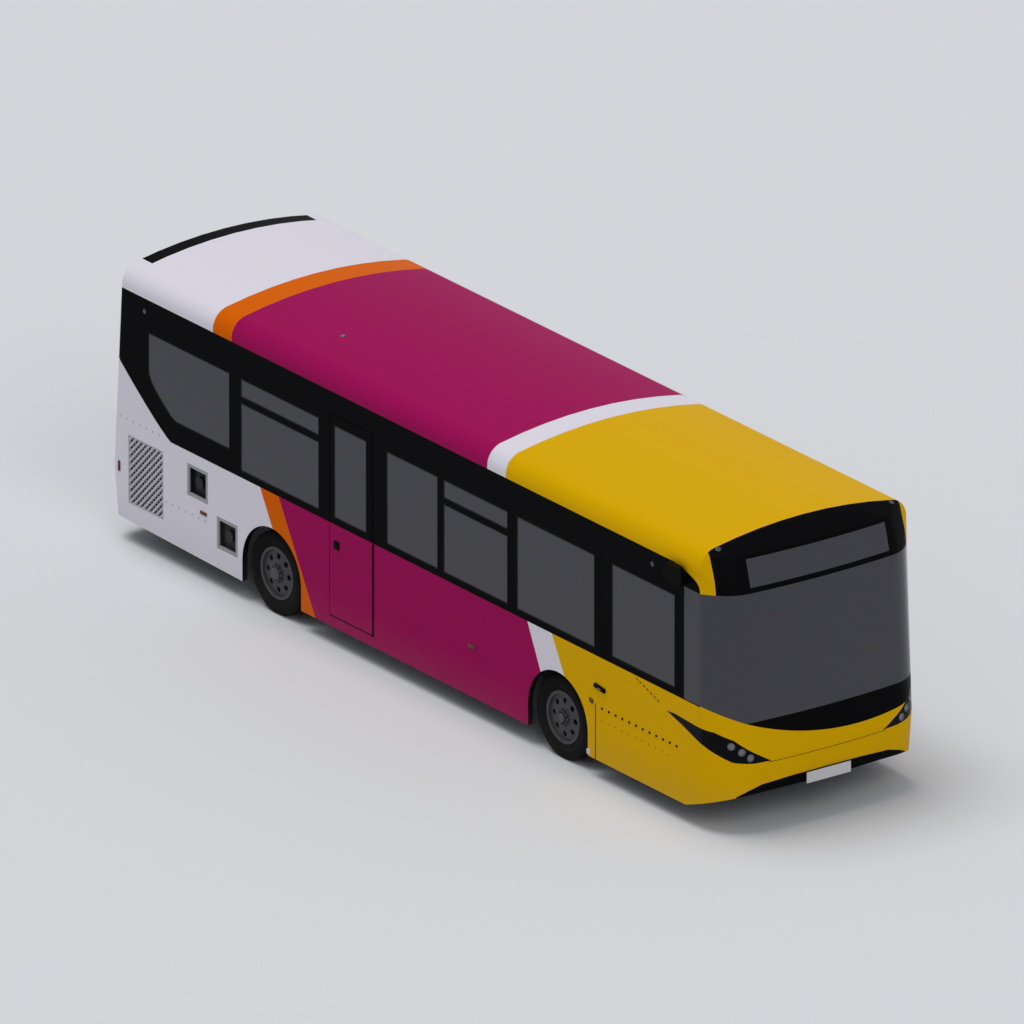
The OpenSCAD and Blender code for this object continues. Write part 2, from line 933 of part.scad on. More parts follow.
module chassis_frame() {
    cross_xs = [screen_x - cross_w, axle_f_x + cross_run, axle_f_x - cross_run, axle_f_x - mid_cross_run,
        kick_x + cross_w];
    high_cross_xs = [kick_x - 4 * cross_w, axle_r_x - cross_run, axle_r_x - engine_cross_run,
        rail_rear_x + cross_w];
    tow_x = rail_front_x - tow_block_l;
    high_rail_z1 = high_rail_z0 + high_rail_h;
    color("dimgray") {
        both_sides() {
            rail(kick_x, tow_x - fit, rail_z1 - rail_h, rail_z1);
            rail(kick_x, kick_x + rail_w, rail_z1 + fit, high_rail_z1);
            rail(rail_rear_x, kick_x - fit, high_rail_z0, high_rail_z1);
            difference() {
                rail(tow_x, rail_front_x, rail_z1 - rail_h, rail_z1);
                translate([rail_front_x - tow_socket_l, rail_y, rail_z1 - rail_h / 2])
                    rotate([0, 90, 0])
                        cylinder(r = tow_socket_r, h = tow_socket_l + cut);
            }
        }
        for (x = cross_xs)
            cross_member(x, rail_z1 - rail_h / 2, rail_z1);
        for (x = high_cross_xs)
            cross_member(x, high_rail_z0 + high_rail_h / 2, high_rail_z1);
    }
}

// Floor: the low deck with its wheel box cut-outs, the riser and the raised rear deck
box_in = 600;
box_half_l = 535;
box_z1 = 960;
box_t = 20;
step_x = kick_x + rail_w + cross_w;
toe_run = 320;
low_front_x = screen_x + toe_run;

module floor_deck() {
    y = inner_y - fit;
    color("gray") {
        difference() {
            union() {
                span([step_x - floor_t, -y, rail_z1], [screen_x, y, floor_z]);
                intersection() {
                    span([screen_x - floor_t, -y, rail_z1], [low_front_x, y, floor_z]);
                    body_form(wall_t + fit);
                }
            }
            both_sides()
                span([axle_f_x - box_half_l - fit, half_w - box_in - fit, rail_z1 - cut],
                    [axle_f_x + box_half_l + fit, half_w, floor_z + cut]);
        }
        span([step_x - floor_t, -y, rail_z1], [step_x, y, deck_z]);
        span([rail_rear_x, -y, deck_z - floor_t], [step_x, y, deck_z]);
    }
}

// Front wheel boxes: open below and to the wheel
module wheel_boxes() {
    color("dimgray")
        both_sides()
            difference() {
                span([axle_f_x - box_half_l, half_w - box_in, rail_z1],
                    [axle_f_x + box_half_l, inner_y - fit, box_z1]);
                span([axle_f_x - box_half_l + box_t, half_w - box_in + box_t, rail_z1 - cut],
                    [axle_f_x + box_half_l - box_t, half_w, box_z1 - box_t]);
            }
}

// Engine: one block between the high rails, on their cross members
engine_l = 1150;
engine_w = rail_y * 2 - rail_w - 2 * fit;
engine_z0 = 430;
engine_x0 = rail_rear_x + 2 * cross_w;

module engine() {
    color("darkslategray")
        span([engine_x0, -engine_w / 2, engine_z0],
            [engine_x0 + engine_l, engine_w / 2, high_rail_z0 + high_rail_h / 2 - fit]);
}

// Front axle: a dropped beam with an eye and a kingpin at each end
wheel_y = half_w - tyre_inset - tyre_w / 2;
kingpin_y = wheel_y - kingpin_offset;
kingpin_r = 20;
eye_r = 42;
eye_h = 90;
ear_h = 34;
beam_w = 76;
beam_h = 74;
seat_pad_h = 6;
beam_z1 = rail_z1 - rail_h - seat_pad_h;
beam_rise_run = 240;
beam_rise_y = kingpin_y - beam_rise_run;

module front_axle() {
    color("dimgray") {
        translate([axle_f_x, 0, 0]) {
            span([-beam_w / 2, -beam_rise_y, beam_z1 - beam_h], [beam_w / 2, beam_rise_y, beam_z1]);
            both_sides() {
                // The beam's ends rise from the drop to the kingpin eye
                rotate([90, 0, 90])
                    linear_extrude(beam_w, center = true)
                        polygon([[beam_rise_y - beam_h, beam_z1 - beam_h], [beam_rise_y, beam_z1 - beam_h],
                            [kingpin_y - beam_h, tyre_r - eye_h / 2], [kingpin_y, tyre_r - eye_h / 2],
                            [kingpin_y, tyre_r + eye_h / 2], [kingpin_y - 2 * beam_h, tyre_r + eye_h / 2],
                            [beam_rise_y - beam_h, beam_z1]]);
                translate([0, kingpin_y, tyre_r])
                    cylinder(r = eye_r, h = eye_h, center = true);
                translate([0, kingpin_y, tyre_r])
                    cylinder(r = kingpin_r, h = eye_h + 2 * ear_h, center = true);
                translate([0, rail_y, beam_z1 - cut])
                    cylinder(r = rail_w / 2, h = cut + seat_pad_h - fit);
            }
        }
    }
}

// Knuckle, as seen on the left: two ears on the kingpin, a web, a stub axle and a steering arm
eye_gap = 6;
web_in = eye_r + eye_gap;
web_t = 24;
web_w = 100;
stub_r = 36;
arm_back = 190;
arm_w = 46;
arm_t = 26;
arm_drop = 190;
arm_pin_r = 11;

module knuckle() {
    translate([axle_f_x, kingpin_y, tyre_r])
        difference() {
            union() {
                for (s = [-1, 1])
                    translate([0, 0, s * (eye_h / 2 + fit + ear_h / 2)]) {
                        cylinder(r = eye_r, h = ear_h, center = true);
                        span([-eye_r, 0, -ear_h / 2], [eye_r, web_in + web_t, ear_h / 2]);
                    }
                span([-web_w / 2, web_in, -eye_h / 2 - fit - ear_h],
                    [web_w / 2, web_in + web_t, eye_h / 2 + fit + ear_h]);
                rotate([-90, 0, 0])
                    cylinder(r = stub_r, h = kingpin_offset + front_disc_at);
                steering_arm();
            }
            cylinder(r = kingpin_r + fit, h = eye_h + 4 * ear_h, center = true);
            cylinder(r = eye_r + fit, h = eye_h + 2 * fit, center = true);
        }
}

// The arm hangs from the lower ear and runs back to the tie rod's pin
module steering_arm() {
    arm_z = -arm_drop;
    span([-arm_w / 2, -arm_w / 2, arm_z], [arm_w / 2, arm_w / 2, -eye_h / 2 - fit - ear_h / 2]);
    span([-arm_back, -arm_w / 2, arm_z], [0, arm_w / 2, arm_z + arm_t]);
    translate([-arm_back, 0, arm_z])
        cylinder(r = arm_w / 2, h = arm_t);
    translate([-arm_back, 0, arm_z - arm_t - fit])
        cylinder(r = arm_pin_r, h = arm_t + fit + arm_t / 2);
}

module knuckle_left() {
    color("gray")
        knuckle();
}

module knuckle_right() {
    color("gray")
        mirror([0, 1, 0])
            knuckle();
}

// Tie rod between the steering arms
rod_r = 13;

module tie_rod() {
    z0 = tyre_r - arm_drop - arm_t - fit;
    color("silver")
        translate([axle_f_x - arm_back, 0, 0])
            difference() {
                union() {
                    translate([0, 0, z0 + arm_t / 2])
                        rotate([90, 0, 0])
                            cylinder(r = rod_r - fit, h = 2 * kingpin_y, center = true);
                    both_sides()
                        translate([0, kingpin_y, z0])
                            cylinder(r = arm_w / 2, h = arm_t);
                }
                both_sides()
                    translate([0, kingpin_y, z0 - cut])
                        cylinder(r = arm_pin_r + fit, h = arm_t + 2 * cut);
            }
}

// Wheels: the rim's section is revolved about the axle; +Z of the section is outboard
rim_t = 14;
flange_h = 16;
hub_r = 95;
hub_l = 70;
disc_t = 16;
hand_hole_r = 30;
hand_hole_count = 8;
hand_hole_share = 0.72;
disc_out_share = 0.72;

// A rim barrel with flanges, a dished disc and a hub bored for its stub axle
module wheel(bore_r, width, disc_at) {
    half = width / 2;
    barrel_r = rim_r - rim_t;
    difference() {
        rotate_extrude()
            polygon([[barrel_r, -half], [rim_r + flange_h, -half], [rim_r + flange_h, rim_t - half],
                [rim_r, rim_t - half], [rim_r, half - rim_t], [rim_r + flange_h, half - rim_t],
                [rim_r + flange_h, half], [barrel_r, half], [barrel_r, disc_at],
                [hub_r, disc_at + disc_t], [bore_r, disc_at + disc_t], [bore_r, disc_at - hub_l],
                [hub_r, disc_at - hub_l], [hub_r, disc_at], [barrel_r, disc_at - disc_t]]);
        for (i = [0:hand_hole_count - 1])
            rotate([0, 0, i * 360 / hand_hole_count])
                translate([barrel_r * hand_hole_share, 0, disc_at - hub_l])
                    cylinder(r = hand_hole_r, h = 2 * hub_l);
    }
}

// Tyre section: bead, sidewall, shoulder and tread, all revolved about the axle
tread_share = 0.8;
shoulder_share = 0.93;
bulge_share = 0.55;
bead_in = 15;

module tyre() {
    half = tyre_w / 2;
    bead_half = half - bead_in;
    wall_r = rim_r + flange_h + (tyre_r - rim_r - flange_h) * bulge_share;
    rotate_extrude()
        polygon([[rim_r + fit, -bead_half + rim_t], [rim_r + flange_h + fit, -bead_half + rim_t],
            [rim_r + flange_h + fit, -half + fit], [wall_r, -half],
            [tyre_r * shoulder_share + (1 - shoulder_share) * tyre_r / 2, -half * shoulder_share],
            [tyre_r, -half * tread_share], [tyre_r, half * tread_share],
            [tyre_r * shoulder_share + (1 - shoulder_share) * tyre_r / 2, half * shoulder_share],
            [wall_r, half], [rim_r + flange_h + fit, half - fit],
            [rim_r + flange_h + fit, bead_half - rim_t], [rim_r + fit, bead_half - rim_t]]);
}

rim_w = tyre_w - 2 * bead_in;
front_disc_at = rim_w / 2 * disc_out_share;

// Places of the wheels, as seen on the left, with the section's +Z outboard
module at_front_wheel() {
    translate([axle_f_x, wheel_y, tyre_r])
        rotate([-90, 0, 0])
            children();
}

module at_rear_wheel() {
    translate([axle_r_x, wheel_y - (tyre_w + twin_gap) / 2, tyre_r])
        rotate([-90, 0, 0])
            children();
}

twin_pitch = (tyre_w + twin_gap) / 2;
rear_stub_r = 60;

module front_wheel() {
    at_front_wheel()
        wheel(stub_r + fit, rim_w, front_disc_at);
}

// Twin rims on one hub tube: each carries its disc at its outer side
module twin_wheel() {
    at_rear_wheel() {
        translate([0, 0, twin_pitch])
            wheel(rear_stub_r + fit, rim_w, front_disc_at);
        translate([0, 0, -twin_pitch])
            wheel(rear_stub_r + fit, rim_w, front_disc_at);
        rotate_extrude()
            polygon([[rear_stub_r + fit, -twin_pitch], [hub_r, -twin_pitch],
                [hub_r, twin_pitch + front_disc_at], [rear_stub_r + fit, twin_pitch + front_disc_at]]);
    }
}

module wheel_front_left() {
    color("slategray")
        front_wheel();
}

module wheel_front_right() {
    color("slategray")
        mirror([0, 1, 0])
            front_wheel();
}

module wheel_rear_left() {
    color("slategray")
        twin_wheel();
}

module wheel_rear_right() {
    color("slategray")
        mirror([0, 1, 0])
            twin_wheel();
}

module tyre_front_left() {
    color([0.07, 0.07, 0.07])
        at_front_wheel()
            tyre();
}

module tyre_front_right() {
    color([0.07, 0.07, 0.07])
        mirror([0, 1, 0])
            at_front_wheel()
                tyre();
}

module tyres_rear_left() {
    color([0.07, 0.07, 0.07])
        at_rear_wheel()
            for (s = [-1, 1])
                translate([0, 0, s * twin_pitch])
                    tyre();
}

module tyres_rear_right() {
    color([0.07, 0.07, 0.07])
        mirror([0, 1, 0])
            tyres_rear_left();
}

// Rear axle: a tube with the final drive, stub ends in the twin hubs and air springs to the rails
tube_r = 70;
diff_r = 190;
diff_w = 260;
rear_stub_in = 10;

module rear_axle() {
    hub_in_y = wheel_y - (tyre_w + twin_gap) / 2 - twin_pitch - rim_w / 2;
    color("dimgray")
        translate([axle_r_x, 0, tyre_r]) {
            rotate([90, 0, 0])
                cylinder(r = tube_r, h = 2 * (hub_in_y - rear_stub_in), center = true);
            rotate([90, 0, 0])
                cylinder(r = rear_stub_r, h = 2 * (wheel_y + front_disc_at), center = true);
            rotate([90, 0, 0])
                intersection() {
                    cylinder(r = diff_r, h = diff_w, center = true);
                    sphere(r = diff_r);
                }
            both_sides()
                translate([0, rail_y, 0])
                    cylinder(r = rail_w, h = high_rail_z0 - tyre_r - fit);
        }
}

// Seats: a moulded shell drawn in profile, on a pedestal
seat_z = 450;
seat_d = 430;
seat_t = 40;
back_h = 640;
back_rake_run = 90;
leg_w = 60;

module seat(w) {
    rotate([90, 0, 0])
        linear_extrude(w, center = true)
            polygon([[seat_d, seat_z], [seat_d, seat_z - seat_t], [0, seat_z - 2 * seat_t],
                [-seat_t, seat_z - seat_t], [-back_rake_run - seat_t, seat_z + back_h],
                [-back_rake_run, seat_z + back_h], [0, seat_z - seat_t / 2]]);
    span([seat_d / 2 - leg_w / 2, -leg_w / 2, 0], [seat_d / 2 + leg_w / 2, leg_w / 2, seat_z - seat_t]);
}

first_row_run = 620;
first_row_x = axle_f_x - box_half_l - first_row_run;
row_clear = 280;
row_count = floor((first_row_x - step_x - row_clear) / seat_pitch) + 1;
deck_rows = [0, 1, 2];
seat_gap = 25;

module passenger_seats() {
    seat_y = inner_y - seat_gap - seat_w / 2;
    color("royalblue")
        both_sides() {
            for (i = [0:row_count - 1])
                translate([first_row_x - i * seat_pitch, seat_y, floor_z])
                    seat(seat_w);
            for (i = deck_rows)
                translate([step_x - seat_d - leg_w - i * seat_pitch, seat_y, deck_z])
                    seat(seat_w);
        }
}

// Driver's place on the right
driver_in = 620;
driver_run = 900;
driver_y = driver_in - half_w;
driver_x = screen_x - driver_run;
driver_seat_w = 480;
platform_h = 180;

module driver_seat() {
    color([0.12, 0.12, 0.14]) {
        translate([driver_x, driver_y, floor_z + platform_h])
            seat(driver_seat_w);
        span([driver_x - seat_d / 2, driver_y - driver_seat_w / 2, floor_z],
            [driver_x + seat_d, driver_y + driver_seat_w / 2, floor_z + platform_h]);
    }
}

dash_d = 380;
dash_h = 760;
dash_set = 20;
dash_x = screen_x + dash_set;
dash_back_share = 0.8;
column_share = 0.7;
dash_y1 = 40;

module dashboard() {
    color([0.12, 0.12, 0.12])
        intersection() {
            translate([dash_x, 0, 0])
                rotate([90, 0, 0])
                    translate([0, 0, -dash_y1])
                        linear_extrude(half_w)
                            polygon([[0, floor_z], [dash_d, floor_z], [dash_d, floor_z + dash_h],
                                [dash_d / 2, floor_z + dash_h], [0, floor_z + dash_h * dash_back_share]]);
            body_form(wall_t + fit);
            span([dash_x, fit - inner_y, floor_z], [low_front_x, dash_y1, floor_z + 2 * dash_h]);
        }
}

wheel_rim_r = 225;
wheel_tube_r = 16;
column_r = 30;
column_lean = 25;
column_l = 240;

// Steering wheel on its column, which stands on the sloping back of the dashboard
module steering_wheel() {
    color([0.05, 0.05, 0.05])
        translate([dash_x - fit, driver_y, floor_z + dash_h * column_share])
            rotate([0, column_lean - 90, 0]) {
                difference() {
                    cylinder(r = column_r, h = column_l);
                    rotate([0, 90 - column_lean, 0])
                        span([0, -cut - column_r, -2 * column_r],
                            [2 * column_r, cut + column_r, 2 * column_r]);
                }
                translate([0, 0, column_l]) {
                    rotate_extrude()
                        translate([wheel_rim_r, 0])
                            circle(r = wheel_tube_r);
                    for (a = [0, 120, 240])
                        rotate([0, 0, a])
                            translate([0, 0, -wheel_tube_r / 2])
                                span([0, -column_r / 2, 0], [wheel_rim_r, column_r / 2, wheel_tube_r]);
                }
            }
}

// Handrails: floor-to-roof poles joined by a rail along each side of the aisle
pole_r = 17;
pole_y = 330;
rail_drop = 1050;
rail_height = body_h - rail_drop;

module handrails() {
    poles = [for (i = [0:row_count - 1]) first_row_x + seat_d + leg_w - i * seat_pitch];
    last_x = poles[len(poles) - 1];
    color("gold")
        intersection() {
            both_sides() {
                for (x = poles)
                    translate([x, pole_y, floor_z])
                        cylinder(r = pole_r, h = body_h);
                translate([last_x, pole_y, rail_height])
                    rotate([0, 90, 0])
                        cylinder(r = pole_r, h = poles[0] - last_x);
            }
            body_form(wall_t + fit);
        }
}

chassis_frame();
floor_deck();
wheel_boxes();
side_wall_right();
side_wall_left();
roof();
front_panel();
front_valance();
windscreen_base();
windscreen();
dome_panel();
destination_glass();
rear_panel();
rear_glass();
engine_cover();
side_glass_right();
side_glass_left();
emergency_door();
emergency_door_glass();
door_leaf_front();
door_leaf_rear();
door_glass_front();
door_glass_rear();
headlamps();
rear_lamps();
mirrors();
number_plate();
side_grille();
filler_pockets();
engine();
front_axle();
rear_axle();
knuckle_right();
knuckle_left();
tie_rod();
wheel_front_right();
tyre_front_right();
wheel_front_left();
tyre_front_left();
wheel_rear_right();
tyres_rear_right();
wheel_rear_left();
tyres_rear_left();
passenger_seats();
driver_seat();
dashboard();
steering_wheel();
handrails();
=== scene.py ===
import json
import math

import bpy
from mathutils import Matrix, Vector
from mathutils.bvhtree import BVHTree


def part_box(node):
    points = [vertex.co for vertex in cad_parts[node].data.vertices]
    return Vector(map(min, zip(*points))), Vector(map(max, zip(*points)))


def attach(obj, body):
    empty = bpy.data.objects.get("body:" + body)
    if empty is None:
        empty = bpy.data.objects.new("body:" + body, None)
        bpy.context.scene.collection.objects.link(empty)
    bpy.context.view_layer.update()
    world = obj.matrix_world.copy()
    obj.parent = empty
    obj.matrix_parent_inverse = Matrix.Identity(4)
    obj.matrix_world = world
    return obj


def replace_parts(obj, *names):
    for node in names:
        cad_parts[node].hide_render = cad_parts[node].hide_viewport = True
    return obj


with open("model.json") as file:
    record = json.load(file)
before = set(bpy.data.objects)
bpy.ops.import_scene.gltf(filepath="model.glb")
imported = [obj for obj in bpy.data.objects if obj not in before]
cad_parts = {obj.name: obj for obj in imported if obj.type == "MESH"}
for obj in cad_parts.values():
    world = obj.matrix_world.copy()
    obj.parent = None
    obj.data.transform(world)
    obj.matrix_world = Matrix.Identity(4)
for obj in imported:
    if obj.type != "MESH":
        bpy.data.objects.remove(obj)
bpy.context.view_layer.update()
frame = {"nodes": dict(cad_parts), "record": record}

bpy.ops.object.select_all(action="DESELECT")
bpy.context.scene.view_settings.view_transform = "Standard"

# Chassis: welded steel rails and cross members, with the axles and knuckles bolted to them.
# They are sprayed in satin black and carry road dust, most of it low down.
# The tie rod is bare steel, and the engine is cast iron.
cad = frame["nodes"]


def filled(tree, made, ins):
    for key, value in ins.items():
        if isinstance(value, bpy.types.NodeSocket):
            tree.links.new(value, made.inputs[key])
        else:
            made.inputs[key].default_value = value
    return made


def add(tree, kind, ins=None, **settings):
    made = tree.nodes.new("ShaderNode" + kind)
    for name, value in settings.items():
        setattr(made, name, value)
    return filled(tree, made, ins or {})


def calc(tree, operation, a, b=0.0, clamp=False):
    return add(tree, "Math", {0: a, 1: b}, operation=operation, use_clamp=clamp).outputs[0]


def mixed(tree, share, a, b):
    return add(tree, "Mix", {0: share, 6: a, 7: b}, data_type="RGBA").outputs[2]


def effect(name, inputs, outputs):
    tree = bpy.data.node_groups.new(name, "ShaderNodeTree")
    for label, kind, value in inputs:
        socket = tree.interface.new_socket(label, in_out="INPUT", socket_type="NodeSocket" + kind)
        socket.default_value = value
    for label, kind in outputs:
        tree.interface.new_socket(label, in_out="OUTPUT", socket_type="NodeSocket" + kind)
    return tree, tree.nodes.new("NodeGroupInput").outputs, tree.nodes.new("NodeGroupOutput").inputs


def placed(tree, group, **ins):
    made = tree.nodes.new("ShaderNodeGroup")
    made.node_tree = group
    return filled(tree, made, ins).outputs


# Road dust settles on the lower part of whatever the wheels throw it at
dust_tone, dust_dulls = (0.23, 0.20, 0.17, 1), 0.8
road_dust, dust_in, dust_out = effect(
    "road_dust",
    [("Color", "Color", (0.5, 0.5, 0.5, 1)), ("Reach", "Float", 0.7), ("Amount", "Float", 0.3),
     ("Roughness", "Float", 0.4)],
    [("Color", "Color"), ("Roughness", "Float")])
place = add(road_dust, "TexCoord").outputs["Object"]
height = add(road_dust, "SeparateXYZ", {0: place}).outputs["Z"]
fall = calc(road_dust, "SUBTRACT", 1.0, calc(road_dust, "DIVIDE", height, dust_in["Reach"]), clamp=True)
cloud = add(road_dust, "TexNoise", {"Vector": place, "Scale": 5.0, "Detail": 6.0, "Roughness": 0.65})
dust = calc(road_dust, "MULTIPLY", fall, cloud.outputs["Fac"])
dust = calc(road_dust, "MULTIPLY", dust, dust_in["Amount"], clamp=True)
dulled = calc(road_dust, "MULTIPLY", dust, dust_dulls)
dulled = calc(road_dust, "ADD", dust_in["Roughness"], dulled, clamp=True)
road_dust.links.new(mixed(road_dust, dust, dust_in["Color"], dust_tone), dust_out["Color"])
road_dust.links.new(dulled, dust_out["Roughness"])

# A fine grain gives every moulded, cast or sprayed skin its small bumps and uneven sheen
grain_depth, noise_middle = 0.002, 0.5
skin_grain, grain_in, grain_out = effect(
    "skin_grain",
    [("Scale", "Float", 80.0), ("Roughness", "Float", 0.4), ("Spread", "Float", 0.1)],
    [("Height", "Float"), ("Roughness", "Float")])
place = add(skin_grain, "TexCoord").outputs["Object"]
fine = add(skin_grain, "TexNoise", {"Vector": place, "Scale": grain_in["Scale"], "Detail": 4.0})
broad = add(skin_grain, "TexNoise", {"Vector": place, "Scale": 2.3, "Detail": 3.0})
uneven = calc(skin_grain, "SUBTRACT", broad.outputs["Fac"], noise_middle)
uneven = calc(skin_grain, "MULTIPLY", uneven, grain_in["Spread"])
uneven = calc(skin_grain, "ADD", grain_in["Roughness"], uneven, clamp=True)
skin_grain.links.new(fine.outputs["Fac"], grain_out["Height"])
skin_grain.links.new(uneven, grain_out["Roughness"])


def blank_finish(name):
    made = bpy.data.materials.new(name)
    made.use_nodes = True
    return made, made.node_tree, made.node_tree.nodes["Principled BSDF"]


def surfaced(tree, shader, color, roughness, grain, spread, dust_amount, reach):
    grained = placed(tree, skin_grain, Scale=grain, Roughness=roughness, Spread=spread)
    dusty = placed(tree, road_dust, Color=color, Reach=reach, Amount=dust_amount,
                   Roughness=grained["Roughness"])
    tree.links.new(dusty["Color"], shader.inputs["Base Color"])
    tree.links.new(dusty["Roughness"], shader.inputs["Roughness"])
    return grained["Height"]


def bumped(tree, shader, relief, strength, depth):
    bump = add(tree, "Bump", {"Strength": strength, "Distance": depth, "Height": relief})
    tree.links.new(bump.outputs[0], shader.inputs["Normal"])


def finish_named(name, color, roughness, grain=80.0, bump=0.05, spread=0.12, dust_amount=0.0, reach=0.7,
                 metallic=0.0, shine=0.2):
    made, tree, shader = blank_finish(name)
    shader.inputs["Metallic"].default_value = metallic
    shader.inputs["Specular IOR Level"].default_value = shine
    relief = surfaced(tree, shader, color, roughness, grain, spread, dust_amount, reach)
    bumped(tree, shader, relief, bump, grain_depth)
    return made


def coat(material, *names):
    for name in names:
        cad[name].data.materials.clear()
        cad[name].data.materials.append(material)


chassis_black = finish_named("chassis_black", (0.022, 0.022, 0.024, 1), 0.55, grain=60, bump=0.12, spread=0.2,
                             dust_amount=0.75, reach=0.9)
coat(chassis_black, "chassis_frame", "front_axle", "rear_axle", "knuckle_left", "knuckle_right")
rod_steel = finish_named("rod_steel", (0.35, 0.35, 0.37, 1), 0.38, grain=120, bump=0.08, spread=0.2,
                         dust_amount=0.6, reach=0.5, metallic=1.0)
coat(rod_steel, "tie_rod")
engine_iron = finish_named("engine_iron", (0.06, 0.06, 0.065, 1), 0.7, grain=40, bump=0.3, spread=0.2,
                           dust_amount=0.5, reach=1.0)
coat(engine_iron, "engine")

# Wheels: pressed steel discs and rims, painted dark grey, bolted to the hubs.
# A ring of nuts on their studs and a domed cap finish each hub.
wheel_grey = finish_named("wheel_grey", (0.052, 0.051, 0.062, 1), 0.5, grain=90, spread=0.15, dust_amount=0.2,
                          reach=0.9)
coat(wheel_grey, "wheel_front_left", "wheel_front_right", "wheel_rear_left", "wheel_rear_right")
nut_steel = finish_named("nut_steel", (0.085, 0.085, 0.095, 1), 0.45, grain=150, spread=0.2, dust_amount=0.2,
                         reach=0.8, metallic=0.6)
front_hub, rear_hub = Vector((2.345, 1.057, 0.42)), Vector((-2.285, 0.915, 0.42))
hub_face_y, cap_deep, cap_seat = 1.1472, 0.036, 0.016
cap_steps = ((0.25, 0.006), (0.3, 0.004))
nut_count, nut_r, nut_deep, nut_seat = 10, 0.0155, 0.022, 0.009
nut_edge, nut_crown, stud_out = 0.003, 0.002, 0.008
front_ring_r, front_cap_r = 0.072, 0.046
rear_ring_r, rear_cap_r = 0.079, 0.064
sides = (("left", 1), ("right", -1))


def pick(piece, wanted):
    bpy.ops.object.mode_set(mode="OBJECT")
    mesh = piece.data
    for part in (*mesh.vertices, *mesh.edges):
        part.select = False
    for face in mesh.polygons:
        face.select = bool(wanted(face.center, face.normal))
    bpy.ops.object.mode_set(mode="EDIT")
    bpy.context.tool_settings.mesh_select_mode = (False, False, True)


def faces_up(center, normal):
    return normal.z > 0.9


def stepped(piece, wanted, steps):
    pick(piece, wanted)
    for inward, outward in steps:
        bpy.ops.mesh.inset(thickness=inward, depth=outward)
    bpy.ops.object.mode_set(mode="OBJECT")


def only(piece):
    if bpy.context.mode != "OBJECT":
        bpy.ops.object.mode_set(mode="OBJECT")
    bpy.ops.object.select_all(action="DESELECT")
    piece.select_set(True)
    bpy.context.view_layer.objects.active = piece


def copies_at(piece, spots):
    made = []
    for spot in spots:
        only(piece)
        bpy.ops.object.duplicate(linked=False)
        bpy.context.object.location = spot
        made.append(bpy.context.object)
    return made


def joined(pieces):
    only(pieces[0])
    for piece in pieces:
        piece.select_set(True)
    bpy.ops.object.join()
    return bpy.context.object


def settle(piece, name, material, body, angle=35):
    only(piece)
    bpy.ops.object.transform_apply(location=True, rotation=True, scale=True)
    bpy.ops.object.shade_smooth_by_angle(angle=math.radians(angle))
    piece.name = piece.data.name = name
    piece.data.materials.clear()
    piece.data.materials.append(material)
    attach(piece, body)
    return piece


def hub_fittings(name, hub, outward, ring_r, cap_r, body):
    face_y = outward * hub_face_y
    turned = (math.radians(-90 * outward), 0, 0)
    bpy.ops.mesh.primitive_cylinder_add(vertices=24, radius=cap_r, depth=cap_deep, rotation=turned,
                                        location=(hub.x, face_y + outward * cap_seat, hub.z))
    cap = bpy.context.object
    stepped(cap, faces_up, [(cap_r * share, rise) for share, rise in cap_steps])
    bpy.ops.mesh.primitive_cylinder_add(vertices=6, radius=nut_r, depth=nut_deep, rotation=turned)
    nut = bpy.context.object
    pick(nut, faces_up)
    bpy.ops.mesh.inset(thickness=nut_edge, depth=nut_crown)
    bpy.ops.mesh.inset(thickness=nut_edge, depth=0.0)
    bpy.ops.mesh.extrude_region_move(TRANSFORM_OT_translate={"value": (0, outward * stud_out, 0)})
    bpy.ops.object.mode_set(mode="OBJECT")
    spots = []
    for i in range(nut_count):
        around = math.radians(360 / nut_count * i)
        spots.append((hub.x + ring_r * math.cos(around), face_y + outward * nut_seat,
                      hub.z + ring_r * math.sin(around)))
    nuts = copies_at(nut, spots)
    bpy.data.objects.remove(nut)
    return settle(joined([cap, *nuts]), name, nut_steel, body)


for side, outward in sides:
    hub_fittings("hub_nuts_front_" + side, front_hub, outward, front_ring_r, front_cap_r,
                 "front_wheel_" + side)
    hub_fittings("hub_nuts_rear_" + side, rear_hub, outward, rear_ring_r, rear_cap_r,
                 "rear_wheel_" + side)

# Tyres: black rubber casings with four grooves round the tread, notched shoulders and a bulged side wall.
# One is modelled, and copies go on the rims, two to a side at the rear.
tyre_rubber = finish_named("tyre_rubber", (0.006, 0.006, 0.0065, 1), 0.85, grain=140, bump=0.15, spread=0.1,
                           dust_amount=0.08, reach=0.85, shine=0.06)
tyre_r, tread_w, tyre_w, twin_gap = 0.42, 0.188, 0.236, 0.048
groove_w, groove_d = 0.010, 0.011
grooves = (-0.064, -0.022, 0.022, 0.064)
bpy.ops.mesh.primitive_cylinder_add(vertices=96, radius=tyre_r, depth=tread_w,
                                    rotation=(math.radians(90), 0, 0))
tyre = bpy.context.object
bpy.ops.object.transform_apply(rotation=True)
bpy.ops.object.mode_set(mode="EDIT")
for groove in grooves:
    for edge in (groove - groove_w / 2, groove + groove_w / 2):
        bpy.ops.mesh.select_all(action="SELECT")
        bpy.ops.mesh.bisect(plane_co=(0, edge, 0), plane_no=(0, 1, 0))
pick(tyre, lambda c, n: abs(n.y) < 0.5 and any(abs(c.y - g) < groove_w / 2 for g in grooves))
bpy.ops.mesh.extrude_region_shrink_fatten(TRANSFORM_OT_shrink_fatten={"value": -groove_d})

